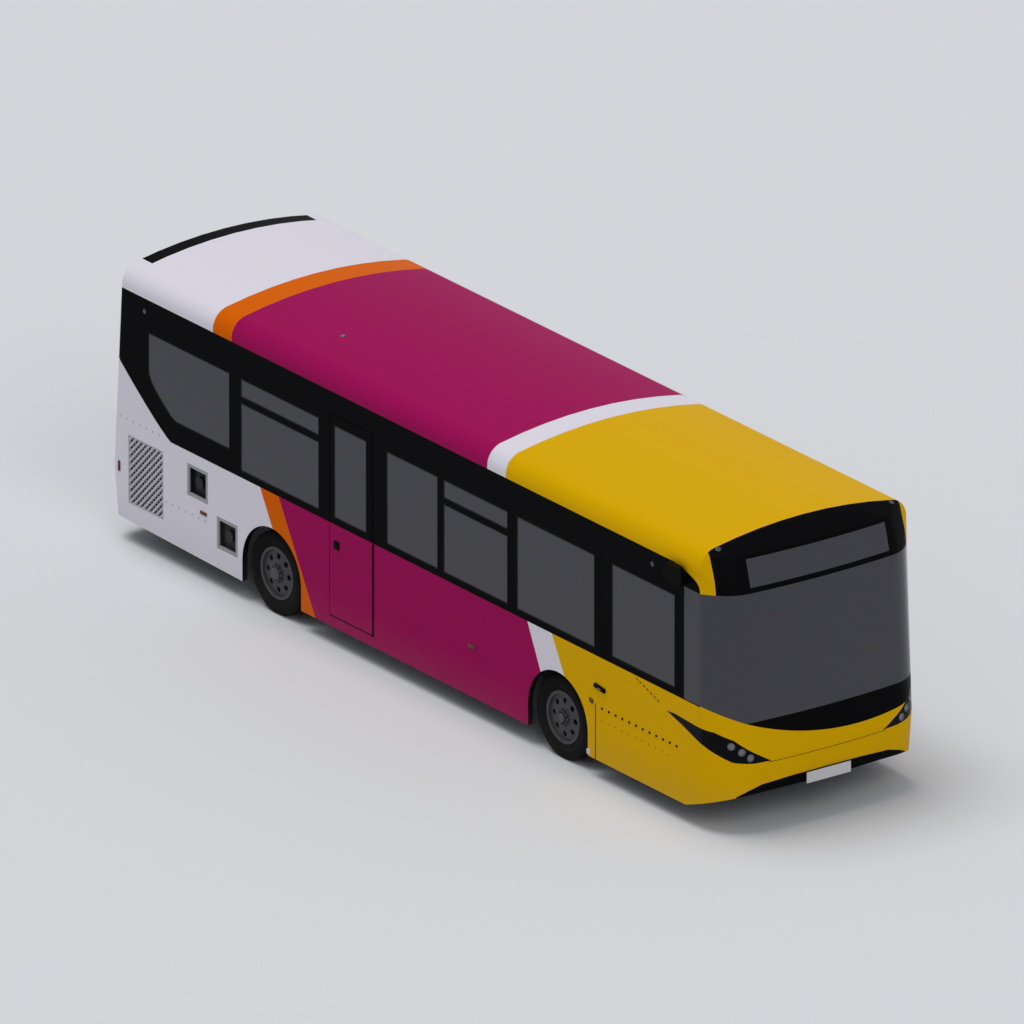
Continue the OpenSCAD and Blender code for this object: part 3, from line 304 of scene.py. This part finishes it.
# Both side walls go in steps from the shoulder to the bead, then the bore joins the two beads
wall_steps = ((0.012, 0.012), (0.030, 0.009), (0.036, 0.0028), (0.004, 0.0), (0.002, -0.002),
              (0.050, -0.010), (0.020, -0.012))
pick(tyre, lambda c, n: abs(n.y) > 0.9 and abs(c.y) > tread_w / 2 - groove_w)
for inward, outward in wall_steps:
    bpy.ops.mesh.inset(thickness=inward, depth=outward)
bpy.ops.mesh.delete(type="FACE")
bpy.context.tool_settings.mesh_select_mode = (False, True, False)
bpy.ops.mesh.select_all(action="DESELECT")
bpy.ops.mesh.select_non_manifold()
bpy.ops.mesh.bridge_edge_loops()
bpy.ops.mesh.select_all(action="SELECT")
bpy.ops.mesh.normals_make_consistent(inside=False)
bpy.ops.object.mode_set(mode="OBJECT")


def block(size, place=(0, 0, 0), turn=(0, 0, 0)):
    bpy.ops.mesh.primitive_cube_add(size=1.0, location=place, rotation=turn)
    made = bpy.context.object
    made.scale = size
    bpy.ops.object.transform_apply(location=True, rotation=True, scale=True)
    return made


def applied(piece, kind, **settings):
    only(piece)
    change = piece.modifiers.new(kind.lower(), kind)
    for name, value in settings.items():
        setattr(change, name, value)
    bpy.ops.object.modifier_apply(modifier=change.name)


notch_count, notch_w, notch_d, notch_reach = 32, 0.009, 0.008, 0.017
notches = []
for shoulder in (1, -1):
    for i in range(notch_count):
        around = math.radians(360 / notch_count * i)
        spot = (tyre_r * math.sin(around), shoulder * tread_w / 2, tyre_r * math.cos(around))
        notches.append(block((notch_w, 2 * notch_reach, 2 * notch_d), spot, (0, around, 0)))
cutter = joined(notches)
applied(tyre, "BOOLEAN", operation="DIFFERENCE", object=cutter)
bpy.data.objects.remove(cutter)
twin_half = (tyre_w + twin_gap) / 2


def fit_tyres(name, hub, shifts, outward, body, node):
    casings = copies_at(tyre, [(hub.x, outward * (hub.y + shift), hub.z) for shift in shifts])
    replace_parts(settle(joined(casings), name, tyre_rubber, body, angle=40), node)


for side, outward in sides:
    fit_tyres("tyre_casing_front_" + side, front_hub, (0.0,), outward, "front_wheel_" + side,
              "tyre_front_" + side)
    fit_tyres("tyre_casings_rear_" + side, rear_hub, (-twin_half, twin_half), outward, "rear_wheel_" + side,
              "tyres_rear_" + side)
bpy.data.objects.remove(tyre)

# Floor: ply decks and pressed wheel boxes under a speckled grey safety vinyl.
# The vinyl is glued down and runs up over the riser to the rear deck.
vinyl_grey, fleck_grey = (0.095, 0.10, 0.11, 1), (0.22, 0.22, 0.24, 1)
fleck_scale, fleck_r = 160.0, 0.22


def tint(material, color):
    tree = material.node_tree
    dusty = next(n for n in tree.nodes if n.type == "GROUP" and n.node_tree == road_dust)
    tree.links.new(color, dusty.inputs["Color"])


floor_vinyl = finish_named("floor_vinyl", vinyl_grey, 0.6, grain=200, bump=0.1, spread=0.15)
tree = floor_vinyl.node_tree
speckle = add(tree, "TexVoronoi", {"Vector": add(tree, "TexCoord").outputs["Object"], "Scale": fleck_scale})
flecked = calc(tree, "LESS_THAN", speckle.outputs["Distance"], fleck_r)
tint(floor_vinyl, mixed(tree, flecked, vinyl_grey, fleck_grey))
coat(floor_vinyl, "floor_deck", "wheel_boxes")

# Seats, cab and rails: moulded blue seat shells, a black dashboard and driver's seat.
# The grab rails are steel tube in a yellow that stands out.
seat_plastic = finish_named("seat_plastic", (0.035, 0.06, 0.17, 1), 0.45, grain=260, bump=0.08, spread=0.1)
coat(seat_plastic, "passenger_seats")
cab_plastic = finish_named("cab_plastic", (0.028, 0.028, 0.03, 1), 0.62, grain=240, bump=0.15, spread=0.1)
coat(cab_plastic, "driver_seat", "dashboard", "steering_wheel")
rail_yellow = finish_named("rail_yellow", (0.72, 0.42, 0.02, 1), 0.35, grain=300, bump=0.03, spread=0.08)
coat(rail_yellow, "handrails")

# Painted skin: aluminium side, roof and end panels in white, orange, magenta and yellow.
# The stripes lean back up the side and cross the roof; the window band is gloss black.
livery, _, livery_out = effect("livery", [], [("Color", "Color"), ("Seam", "Float")])
along, sideways, up = add(livery, "SeparateXYZ", {0: add(livery, "TexCoord").outputs["Object"]}).outputs
across = calc(livery, "ABSOLUTE", sideways)
cove_z, sill_z = 2.62, 1.265
low_up = calc(livery, "MINIMUM", up, cove_z)


def above(value, limit):
    return calc(livery, "GREATER_THAN", value, limit)


def below(value, limit):
    return calc(livery, "LESS_THAN", value, limit)


def gathered(operation, masks):
    total = masks[0]
    for mask in masks[1:]:
        total = calc(livery, operation, total, mask)
    return total


def most(*masks):
    return gathered("MAXIMUM", masks)


def all_of(*masks):
    return gathered("MULTIPLY", masks)


def within(value, low, high):
    return all_of(above(value, low), below(value, high))


def ahead_of(x_at_sill, lean):
    shifted = calc(livery, "MULTIPLY", calc(livery, "SUBTRACT", low_up, sill_z), lean)
    return above(calc(livery, "ADD", along, shifted), x_at_sill)


# From the rear to the front, each stripe starts at its place on the sill and leans by its own share
paint_white, paint_black = (0.74, 0.71, 0.78, 1), (0.003, 0.003, 0.0035, 1)
paint_orange, paint_magenta = (0.70, 0.125, 0.001, 1), (0.345, 0.006, 0.094, 1)
paint_yellow = (0.72, 0.405, 0.001, 1)
stripes = ((-2.474, 0.5625, paint_orange), (-2.170, 0.5625, paint_magenta), (1.855, 0.475, paint_white),
           (2.245, 0.545, paint_yellow))
paint = paint_white
for x_at_sill, lean, stripe in stripes:
    paint = mixed(livery, ahead_of(x_at_sill, lean), paint, stripe)

# The band's lower edge sweeps up to the rear corner, and the roof's front tips come down past it
sweep_x, sweep_power, sweep_rise = -3.93, 1.154, 0.73
back = calc(livery, "MAXIMUM", calc(livery, "SUBTRACT", sweep_x, along), 0.0)
sweep = calc(livery, "MULTIPLY", calc(livery, "POWER", back, sweep_power), sweep_rise)
tip_z, tip_high, tip_x, tip_power, tip_long = 2.42, 0.20, 4.61, 3.0, 0.42
tip = calc(livery, "DIVIDE", calc(livery, "MAXIMUM", calc(livery, "SUBTRACT", up, tip_z), 0.0), tip_high)
tip = calc(livery, "MULTIPLY", calc(livery, "POWER", tip, tip_power), tip_long)
band_front = calc(livery, "SUBTRACT", tip_x, tip)
side_band = all_of(above(up, calc(livery, "ADD", sill_z, sweep)), below(up, cove_z), below(along, band_front))

# The rear window's black frame runs up to the roof and just over its edge
frame_half_w, frame_x, frame_foot_z, roof_edge_x = 0.98, -4.70, 1.42, -4.56
rear_frame = all_of(below(across, frame_half_w), below(along, frame_x), within(up, frame_foot_z, cove_z))
roof_edge = all_of(below(across, frame_half_w), below(along, roof_edge_x), above(up, cove_z))
band = most(side_band, rear_frame, roof_edge)


# Panel joints are narrow lines pressed into the skin, some with a row of rivets along them
def joint(value, line, half):
    return below(calc(livery, "ABSOLUTE", calc(livery, "SUBTRACT", value, line)), half)


def rivets(z, pitch=0.107, radius=0.011):
    aside = calc(livery, "SUBTRACT", calc(livery, "FLOORED_MODULO", along, pitch), pitch / 2)
    aside = calc(livery, "POWER", calc(livery, "ABSOLUTE", aside), 2.0)
    over = calc(livery, "POWER", calc(livery, "ABSOLUTE", calc(livery, "SUBTRACT", up, z)), 2.0)
    return below(calc(livery, "ADD", aside, over), radius * radius)


side_y, waist_z, shoulder_z = 1.20, 0.625, 1.28
waist_runs, shoulder_run = ((-4.05, -3.33), (-1.80, 1.86), (2.96, 4.20)), (-4.86, -4.05)
waist = all_of(rivets(waist_z), most(*[within(along, *run) for run in waist_runs]))
shoulder = all_of(rivets(shoulder_z), within(along, *shoulder_run))
light_seam = all_of(most(waist, shoulder), above(across, side_y))

# The bumper's top, the front corner panel's rear edge and a broken line behind the headlamp
bumper_z, bumper_xs, bumper_half_w = 0.705, (4.80, 5.1), 0.69
bumper_joint = all_of(joint(up, bumper_z, half=0.003), within(along, *bumper_xs),
                      below(across, bumper_half_w))
corner_x, corner_zs = 2.948, (0.15, 0.77)
corner_joint = all_of(joint(along, corner_x, half=0.007), within(up, *corner_zs))
lamp_line_z, lamp_line_fall, lamp_line_xs = 2.425, 0.33, (3.60, 3.98)
dash_pitch, dash_l = 0.057, 0.032
slanted = calc(livery, "ADD", up, calc(livery, "MULTIPLY", along, lamp_line_fall))
dashes = below(calc(livery, "FLOORED_MODULO", along, dash_pitch), dash_l)
lamp_joint = all_of(joint(slanted, lamp_line_z, half=0.008), within(along, *lamp_line_xs), dashes)

# The gap round the emergency door's hinge side and foot, and the panels' cut edges inside the openings, which
# are painted near-black as painted shade, like the dark inside the wheel arches
exit_hinge_x, exit_zs = -0.628, (0.30, sill_z)
exit_foot_z, exit_xs = 0.311, (-1.34, -0.62)
exit_edges = most(all_of(joint(along, exit_hinge_x, half=0.011), within(up, *exit_zs)),
                  all_of(joint(up, exit_foot_z, half=0.007), within(along, *exit_xs)))
exit_edges = all_of(exit_edges, below(sideways, -side_y))
dark_seam = most(corner_joint, lamp_joint, exit_edges, bumper_joint)
# Painted shade: low down, all paint set inside the skin's outer face is near-black, standing in for the dark
# in the arches and openings
cut_y, cut_xs, cut_zs = 1.2185, (-4.65, 4.355), (0.0, 1.25)
cut_edge_painted_shade = all_of(below(across, cut_y), within(along, *cut_xs), within(up, *cut_zs))
rivet_tone, rivet_share, gap_and_shade_tone = (0.012, 0.012, 0.012, 1), 0.45, (0.004, 0.004, 0.004, 1)
paint = mixed(livery, band, paint, paint_black)
paint = mixed(livery, calc(livery, "MULTIPLY", light_seam, rivet_share), paint, rivet_tone)
# The dark joints and the painted shade on the cut edges share one near-black tone
paint = mixed(livery, most(dark_seam, cut_edge_painted_shade), paint, gap_and_shade_tone)
livery.links.new(paint, livery_out["Color"])
livery.links.new(most(light_seam, dark_seam), livery_out["Seam"])

peel_share, seam_strength, seam_depth = 0.04, 0.25, 0.004
coach_paint, tree, shader = blank_finish("coach_paint")
shader.inputs["Coat Weight"].default_value = 0.02
shader.inputs["Coat Roughness"].default_value = 0.12
shader.inputs["Specular IOR Level"].default_value = 0.008
colours = placed(tree, livery)
peel = surfaced(tree, shader, colours["Color"], 0.34, grain=220, spread=0.10, dust_amount=0.28, reach=0.55)
relief = calc(tree, "SUBTRACT", calc(tree, "MULTIPLY", peel, peel_share), colours["Seam"])
bumped(tree, shader, relief, seam_strength, seam_depth)
body_of_node = {n: b for b, ns in frame["record"]["behaviour"]["bodies"].items() for n in ns}
merge_reach = 0.00005


def merged_copy(node):
    only(cad[node])
    bpy.ops.object.duplicate(linked=False)
    copy = bpy.context.object
    for key in list(copy.keys()):
        del copy[key]
    copy.parent = None
    copy.modifiers.clear()
    bpy.ops.object.mode_set(mode="EDIT")
    bpy.ops.mesh.select_all(action="SELECT")
    bpy.ops.mesh.remove_doubles(threshold=merge_reach)
    bpy.ops.mesh.customdata_custom_splitnormals_clear()
    bpy.ops.object.mode_set(mode="OBJECT")
    return copy


def skin_over(node, material, angle=32):
    skin = settle(merged_copy(node), node + "_skin", material, body_of_node[node], angle)
    applied(skin, "WEIGHTED_NORMAL", keep_sharp=True)
    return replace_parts(skin, node)


coat(coach_paint, "side_wall_right", "side_wall_left", "emergency_door")
for node in ("roof", "front_panel", "rear_panel", "engine_cover"):
    skin_over(node, coach_paint)

# Black trim: the moulded base under the windscreen, the dome round the sign and the valance.
# They are dyed through and polished, so they shine softly; the mirrors and door leaves match them.
trim_black = finish_named("trim_black", paint_black, 0.34, grain=200, bump=0.03, shine=0.02)
for node in ("windscreen_base", "dome_panel", "front_valance"):
    skin_over(node, trim_black)
coat(trim_black, "mirrors", "door_leaf_front", "door_leaf_rear")

# Glass: toughened grey panes bonded flush with the band, and the laminated windscreen.
# The tint is deep, so the cabin only shows faintly behind it.
glass_grey = (0.070, 0.070, 0.083, 1)
tinted_glass, tree, shader = blank_finish("tinted_glass")
shader.inputs["Transmission Weight"].default_value = 0.18
shader.inputs["IOR"].default_value = 1.45
shader.inputs["Specular IOR Level"].default_value = 0.18
surfaced(tree, shader, glass_grey, 0.10, grain=30, spread=0.06, dust_amount=0.05, reach=3.0)
coat(tinted_glass, "side_glass_right", "side_glass_left", "emergency_door_glass", "door_glass_front",
     "door_glass_rear")
for node in ("windscreen", "rear_glass", "destination_glass"):
    skin_over(node, tinted_glass)

# Seals: extruded rubber round every side and door pane, pressed in after the glass.
# Each is a thin frame cut from the outline of its own pane.
seal_rubber = finish_named("seal_rubber", (0.006, 0.006, 0.0065, 1), 0.7, grain=200, bump=0.1, spread=0.1,
                           shine=0.06)
seal_w, seal_proud, seal_ease = 0.016, 0.003, 0.001


def seal_round(node, outward):
    seal = merged_copy(node)
    pick(seal, lambda c, n: n.y * outward < 0.9)
    bpy.ops.mesh.delete(type="FACE")
    bpy.ops.mesh.select_all(action="SELECT")
    bpy.ops.mesh.dissolve_limited(angle_limit=math.radians(1))
    bpy.ops.mesh.select_all(action="SELECT")
    bpy.ops.mesh.inset(thickness=seal_w, depth=0.0, use_individual=True)
    bpy.ops.mesh.delete(type="FACE")
    applied(seal, "SOLIDIFY", thickness=seal_proud, offset=1.0)
    applied(seal, "BEVEL", width=seal_ease, segments=2)
    return settle(seal, node + "_seal", seal_rubber, body_of_node[node])


for node, outward in (("side_glass_right", -1), ("side_glass_left", 1), ("emergency_door_glass", -1),
                      ("door_glass_front", 1), ("door_glass_rear", 1)):
    seal_round(node, outward)

# Headlamps: dark moulded clusters let into both front corners.
# Each holds three round lamps, a pale domed lens in a steel ring.
lamp_house = finish_named("lamp_house", (0.003, 0.003, 0.004, 1), 0.2, grain=120, bump=0.02, spread=0.06,
                          shine=0.06)
skin_over("headlamps", lamp_house)
ring_steel = finish_named("ring_steel", (0.16, 0.16, 0.18, 1), 0.3, grain=200, bump=0.02, spread=0.1,
                          metallic=1.0)


def lens_finish(name, color, roughness, spread=0.05):
    return finish_named(name, color, roughness, grain=60, bump=0.02, spread=spread)


def on_skin(node, point, outward):
    mesh = cad[node].data
    skin = BVHTree.FromPolygons([v.co for v in mesh.vertices], [p.vertices for p in mesh.polygons])
    away = Vector(outward).normalized()
    spot, normal, _, _ = skin.ray_cast(Vector(point) + away, -away)
    return spot, normal


def stood_on(piece, spot, normal):
    piece.matrix_world = Matrix.Translation(spot) @ normal.to_track_quat("Z", "Y").to_matrix().to_4x4()
    only(piece)
    bpy.ops.object.transform_apply(location=True, rotation=True, scale=True)


# A lamp's ring, lip and domed lens are shares of its radius, and inside the lip the ring drops to the skin
ring_share, lip_share, lens_share, lens_flat, seat_share = 0.14, 0.05, 0.84, 0.28, 0.5


def round_lamp(name, node, point, outward, radius, lens, deep=0.012):
    spot, normal = on_skin(node, point, outward)
    bpy.ops.mesh.primitive_cylinder_add(vertices=32, radius=radius, depth=deep)
    ring = bpy.context.object
    stepped(ring, faces_up, [(radius * ring_share, 0.0), (radius * lip_share, -deep * seat_share)])
    stood_on(ring, spot, normal)
    bpy.ops.mesh.primitive_uv_sphere_add(segments=32, ring_count=12, radius=radius * lens_share)
    dome = bpy.context.object
    dome.scale = (1, 1, lens_flat)
    bpy.ops.object.transform_apply(scale=True)
    bpy.ops.object.mode_set(mode="EDIT")
    bpy.ops.mesh.select_all(action="SELECT")
    bpy.ops.mesh.bisect(plane_co=(0, 0, 0), plane_no=(0, 0, 1), clear_inner=True, use_fill=True)
    bpy.ops.object.mode_set(mode="OBJECT")
    stood_on(dome, spot, normal)
    settle(ring, name + "_ring", ring_steel, body_of_node[node])
    settle(dome, name + "_lens", lens, body_of_node[node], angle=60)


lens_clear = lens_finish("lens_clear", (0.17, 0.175, 0.19, 1), 0.08, spread=0.03)
headlamp_r, headlamp_splay, headlamp_tilt = 0.037, 0.6, 0.05
headlamp_spots = ((4.88, 1.05, 0.915), (4.94, 0.97, 0.852), (4.97, 0.89, 0.787))
for side, outward in reversed(sides):
    for i, (x, y, z) in enumerate(headlamp_spots):
        round_lamp(f"headlamp_{side}_{i}", "headlamps", (x, outward * y, z),
                   (1, outward * headlamp_splay, headlamp_tilt), headlamp_r, lens_clear)

# Rear lamps: red moulded strips let into the rear panel on both sides of the engine cover.
# Round stop, turn and reversing lamps stand on each strip.
lamp_red = finish_named("lamp_red", (0.16, 0.006, 0.006, 1), 0.25, grain=90, bump=0.03, spread=0.08)
skin_over("rear_lamps", lamp_red)
lens_red = lens_finish("lens_red", (0.30, 0.008, 0.008, 1), 0.18)
lens_amber = lens_finish("lens_amber", (0.62, 0.16, 0.01, 1), 0.2)
rear_lamp_r, strip_x, strip_y = 0.044, -5.0, 1.015
rear_lamp_rows = ((1.13, lens_red), (1.01, lens_amber), (0.89, lens_red), (0.75, lens_clear))
for side, outward in reversed(sides):
    for i, (z, lens) in enumerate(rear_lamp_rows):
        round_lamp(f"rear_lamp_{side}_{i}", "rear_lamps", (strip_x, outward * strip_y, z), (-1, 0, 0),
                   rear_lamp_r, lens)

# Side and dome markers: small moulded lamps clipped into the skin.
# Brown ones lie along the sides; smoked round ones sit on the window band and the dome.
marker_brown = lens_finish("marker_brown", (0.11, 0.045, 0.014, 1), 0.25)
lens_smoked = lens_finish("lens_smoked", (0.075, 0.075, 0.085, 1), 0.1, spread=0.03)
wall_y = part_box("side_wall_left")[1].y
border_share, raised_share, ease_share, ease_limit = 0.22, 0.3, 0.25, 0.45


def fitting(name, size, place, material, body, turn=0.0):
    wide, thick, high = size
    made = block(size)
    outward = math.copysign(1, place[1])
    border = min(wide, high) * border_share
    stepped(made, lambda c, n: n.y * outward > 0.9, [(border, thick * raised_share)])
    applied(made, "BEVEL", width=min(thick * ease_share, border * ease_limit), segments=3)
    made.rotation_euler = (0, turn, 0)
    made.location = place
    return settle(made, name, material, body)


marker_size, marker_proud, marker_spots = (0.105, 0.010, 0.034), 0.003, ((0.965, 0.72), (-3.395, 0.70))
band_marker_r, band_marker_z, band_marker_xs = 0.024, 2.486, (-4.353, 3.855)
dome_marker_r, dome_marker_x, dome_marker_y, dome_marker_z = 0.027, 4.632, 1.025, 2.838
for side, outward in reversed(sides):
    for i, (x, z) in enumerate(marker_spots):
        fitting(f"side_marker_{side}_{i}", marker_size, (x, outward * (wall_y + marker_proud), z),
                marker_brown, "body")
    for i, x in enumerate(band_marker_xs):
        round_lamp(f"band_marker_{side}_{i}", "side_wall_" + side, (x, outward * wall_y, band_marker_z),
                   (0, outward, 0), band_marker_r, lens_smoked, deep=0.008)
    round_lamp(f"dome_marker_{side}", "dome_panel", (dome_marker_x, outward * dome_marker_y, dome_marker_z),
               (1, 0, 1), dome_marker_r, lens_smoked, deep=0.010)

# Roof aerial: a low round base screwed down on the right half of the roof.
# A pale moulded dome sits in a steel ring.
aerial_spot, aerial_r = (-1.827, -0.702, 2.9), 0.026
round_lamp("roof_aerial", "roof", aerial_spot, (0, 0, 1), aerial_r, lens_clear, deep=0.008)

# Handles, lamp and reflector on the right: a lever on its plate on the emergency door, the cab step's
# handle with a pale steel grip across its middle that stands in for a highlight on the black handle,
# and a brown lamp and a pale reflector behind the front arch. They are moulded, screwed on from inside, with
# rounded edges.
plate_white = finish_named("plate_white", (0.62, 0.60, 0.64, 1), 0.35, grain=120, bump=0.03, spread=0.08)


def on_right(x, z, proud):
    return (x, -(wall_y + proud), z)


fitting("exit_handle_plate", (0.085, 0.008, 0.085), on_right(-1.225, 1.06, proud=0.003), trim_black,
        "emergency_exit")
fitting("exit_handle_lever", (0.075, 0.018, 0.024), on_right(-1.215, 1.06, proud=0.013), seal_rubber,
        "emergency_exit", turn=0.3)
fitting("cab_step_handle", (0.17, 0.022, 0.042), on_right(3.025, 0.955, proud=0.008), trim_black,
        "body", turn=0.12)
# The pale steel grip is a painted highlight on the black handle
fitting("cab_step_highlight_grip", (0.058, 0.006, 0.020), on_right(3.035, 0.954, proud=0.0215), ring_steel,
        "body", turn=0.12)
fitting("cab_step_lamp", (0.060, 0.014, 0.040), on_right(2.885, 0.785, proud=0.005), marker_brown,
        "body", turn=0.3)
fitting("arch_reflector", (0.050, 0.006, 0.052), on_right(2.836, 0.245, proud=0.0025), plate_white,
        "body")

# Corner reflectors: a slim red moulding stuck upright on each side of the rear end.
# Its raised face stands off the paint, and the plastic has aged to a brownish red.
reflector_red = lens_finish("reflector_red", (0.10, 0.022, 0.02, 1), 0.25)
reflector_size, reflector_x, reflector_z, reflector_proud = (0.034, 0.010, 0.105), -4.78, 0.757, 0.002
for side, outward in reversed(sides):
    spot = (reflector_x, outward * (wall_y + reflector_proud), reflector_z)
    fitting("corner_reflector_" + side, reflector_size, spot, reflector_red, "body")

# Vent studs: a row of small round black studs on the lower panel behind the front corner.
# Each is a moulded plug with a raised face, pushed into a hole in the panel.
stud_r, stud_deep, stud_proud, stud_raised, stud_edge_share = 0.014, 0.006, 0.0015, 0.0015, 0.35
stud_count, first_stud_x, stud_pitch, stud_z = 12, 3.056, 0.108, 0.752
bpy.ops.mesh.primitive_cylinder_add(vertices=12, radius=stud_r, depth=stud_deep,
                                    rotation=(math.radians(90), 0, 0))
stud = bpy.context.object
stepped(stud, faces_up, [(stud_r * stud_edge_share, stud_raised)])
stud_xs = [first_stud_x + i * stud_pitch for i in range(stud_count)]
studs = copies_at(stud, [on_right(x, stud_z, stud_proud) for x in stud_xs])
bpy.data.objects.remove(stud)
settle(joined(studs), "vent_studs", trim_black, "body")

# Grille and fillers: a moulded engine grille and two filler pockets with pale rims.
# The grille's pale bars cross thinner ones behind them over a closed tray, and each pocket is a tray with a
# screwed cap inside. Everything set deeper than the rim's face is painted near-black as painted shade,
# standing in for the dark seen through the slots and inside the pockets.
# Painted shade: the near-black given to everything deeper than a rim's face
painted_shade_black = (0.010, 0.010, 0.011, 1)


def plastic_with_painted_shade(name, pale, rim_y):
    made = finish_named(name, pale, 0.5, grain=160, bump=0.08, spread=0.1, dust_amount=0.3, reach=1.0)
    tree = made.node_tree
    place = add(tree, "TexCoord").outputs["Object"]
    aside = calc(tree, "ABSOLUTE", add(tree, "SeparateXYZ", {0: place}).outputs["Y"])
    # Faces deeper than the rim get the painted shade, the rest keeps the pale plastic
    tint(made, mixed(tree, calc(tree, "GREATER_THAN", aside, rim_y), painted_shade_black, pale))
    return made


grille_plastic = plastic_with_painted_shade("side_grille_plastic", (0.52, 0.50, 0.55, 1), rim_y=1.193)
pocket_plastic = plastic_with_painted_shade("filler_pockets_plastic", (0.33, 0.33, 0.36, 1), rim_y=1.205)
coat(pocket_plastic, "filler_pockets")


def faces_right(center, normal):
    return normal.y < -0.9


grille_low, grille_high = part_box("side_grille")
grille_mid = (grille_low + grille_high) / 2
grille_rim, tray_deep = 0.014, 0.046
tray = block(grille_high - grille_low, grille_mid)
pick(tray, faces_right)
bpy.ops.mesh.inset(thickness=grille_rim, depth=0.0)
bpy.ops.mesh.extrude_region_move(TRANSFORM_OT_translate={"value": (0, tray_deep, 0)})
bpy.ops.object.mode_set(mode="OBJECT")

# Each row of bars has its lean, width, place behind the rim's face and depth
bar_rows = ((1, 0.024, 0.001, 0.022), (-1, 0.013, 0.0235, 0.010))
bar_pitch, bar_ease, bar_tuck, bars_aside = 0.051, 0.003, 0.001, 9
bar_reach = (grille_high - grille_low).length
bars = []
for lean, bar_w, bar_y, bar_deep in bar_rows:
    bar = block((bar_reach, bar_deep, bar_w), turn=(0, math.radians(-45 * lean), 0))
    pick(bar, faces_right)
    bpy.ops.mesh.bevel(offset=bar_ease, segments=2, affect="EDGES")
    bpy.ops.object.mode_set(mode="OBJECT")
    spots = []
    for i in range(-bars_aside, bars_aside + 1):
        aside = i * bar_pitch * math.sqrt(0.5)
        spots.append((grille_mid.x - lean * aside, grille_low.y + bar_y + bar_deep / 2, grille_mid.z + aside))
    bars += copies_at(bar, spots)
    bpy.data.objects.remove(bar)
bars = joined(bars)
bpy.ops.object.transform_apply(location=True)
bpy.ops.object.mode_set(mode="EDIT")
for axis, end, sign in ((0, grille_high.x, 1), (0, grille_low.x, -1), (2, grille_high.z, 1),
                        (2, grille_low.z, -1)):
    edge, away = grille_mid.copy(), Vector()
    edge[axis], away[axis] = end - sign * (grille_rim - bar_tuck), sign
    bpy.ops.mesh.select_all(action="SELECT")
    bpy.ops.mesh.bisect(plane_co=edge, plane_no=away, clear_outer=True, use_fill=True)
bpy.ops.object.mode_set(mode="OBJECT")
grille = settle(joined([tray, bars]), "side_grille_bars", grille_plastic, "body")
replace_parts(grille, "side_grille")

# Number plate: a pressed aluminium plate with a pale reflective face, left blank.
# Two pads hold it in the middle of the valance.
coat(plate_white, "number_plate")

# Floor and light: a wide pale floor, an even sky and two broad soft suns.
# The upper sun is the stronger, so the roof is brightest and the side a step darker.
# Past the floor's end the backdrop has the floor's own shade.
bpy.ops.object.select_all(action="DESELECT")
bpy.ops.mesh.primitive_plane_add(size=900.0)
ground = bpy.context.object
ground.name = "studio_floor"
pale_floor, tree, shader = blank_finish("pale_floor")
shader.inputs["Base Color"].default_value = (0.72, 0.73, 0.75, 1)
shader.inputs["Roughness"].default_value = 0.9
shader.inputs["Specular IOR Level"].default_value = 0.1
ground.data.materials.append(pale_floor)
world = bpy.data.worlds.new("studio")
world.use_nodes = True
tree = world.node_tree
sky = tree.nodes["Background"]
sky.inputs["Color"].default_value = (0.80, 0.82, 0.86, 1)
sky.inputs["Strength"].default_value = 0.42
backdrop = add(tree, "Background", {"Color": (0.66, 0.665, 0.69, 1), "Strength": 1.0})
rays = add(tree, "LightPath").outputs
seen = calc(tree, "MAXIMUM", rays["Is Camera Ray"], rays["Is Transmission Ray"])
seen = calc(tree, "MAXIMUM", seen, rays["Is Glossy Ray"])
both = add(tree, "MixShader", {0: seen, 1: sky.outputs[0], 2: backdrop.outputs[0]})
tree.links.new(both.outputs[0], tree.nodes["World Output"].inputs["Surface"])
bpy.context.scene.world = world
sun_spread = math.radians(35)
for name, strength, tilt in (("top_sun", 1.5, (8, -14, 0)), ("front_sun", 0.55, (52, 0, 75))):
    bpy.ops.object.light_add(type="SUN", rotation=[math.radians(a) for a in tilt])
    sun = bpy.context.object
    sun.name = name
    sun.data.energy = strength
    sun.data.angle = sun_spread

# Camera: it looks from the right of the front corner, a little from above.
# A very long lens from far away keeps parallel edges parallel.
azimuth, elevation, distance = math.radians(53.65), math.radians(21.5), 400.0
picture_w, pixels_per_metre = 1024, 105
level = math.cos(elevation)
toward = Vector((math.sin(azimuth) * level, -math.cos(azimuth) * level, math.sin(elevation)))
aim = Vector((1.3898, -1.0588, 2.1957))
bpy.ops.object.camera_add(location=aim + toward * distance)
camera = bpy.context.object
camera.rotation_mode = "QUATERNION"
camera.rotation_quaternion = (-toward).to_track_quat("-Z", "Y")
camera.data.sensor_width = 36.0
camera.data.lens = camera.data.sensor_width * distance / (picture_w / pixels_per_metre)
camera.data.clip_start, camera.data.clip_end = 1.0, 1500.0
bpy.context.scene.camera = camera
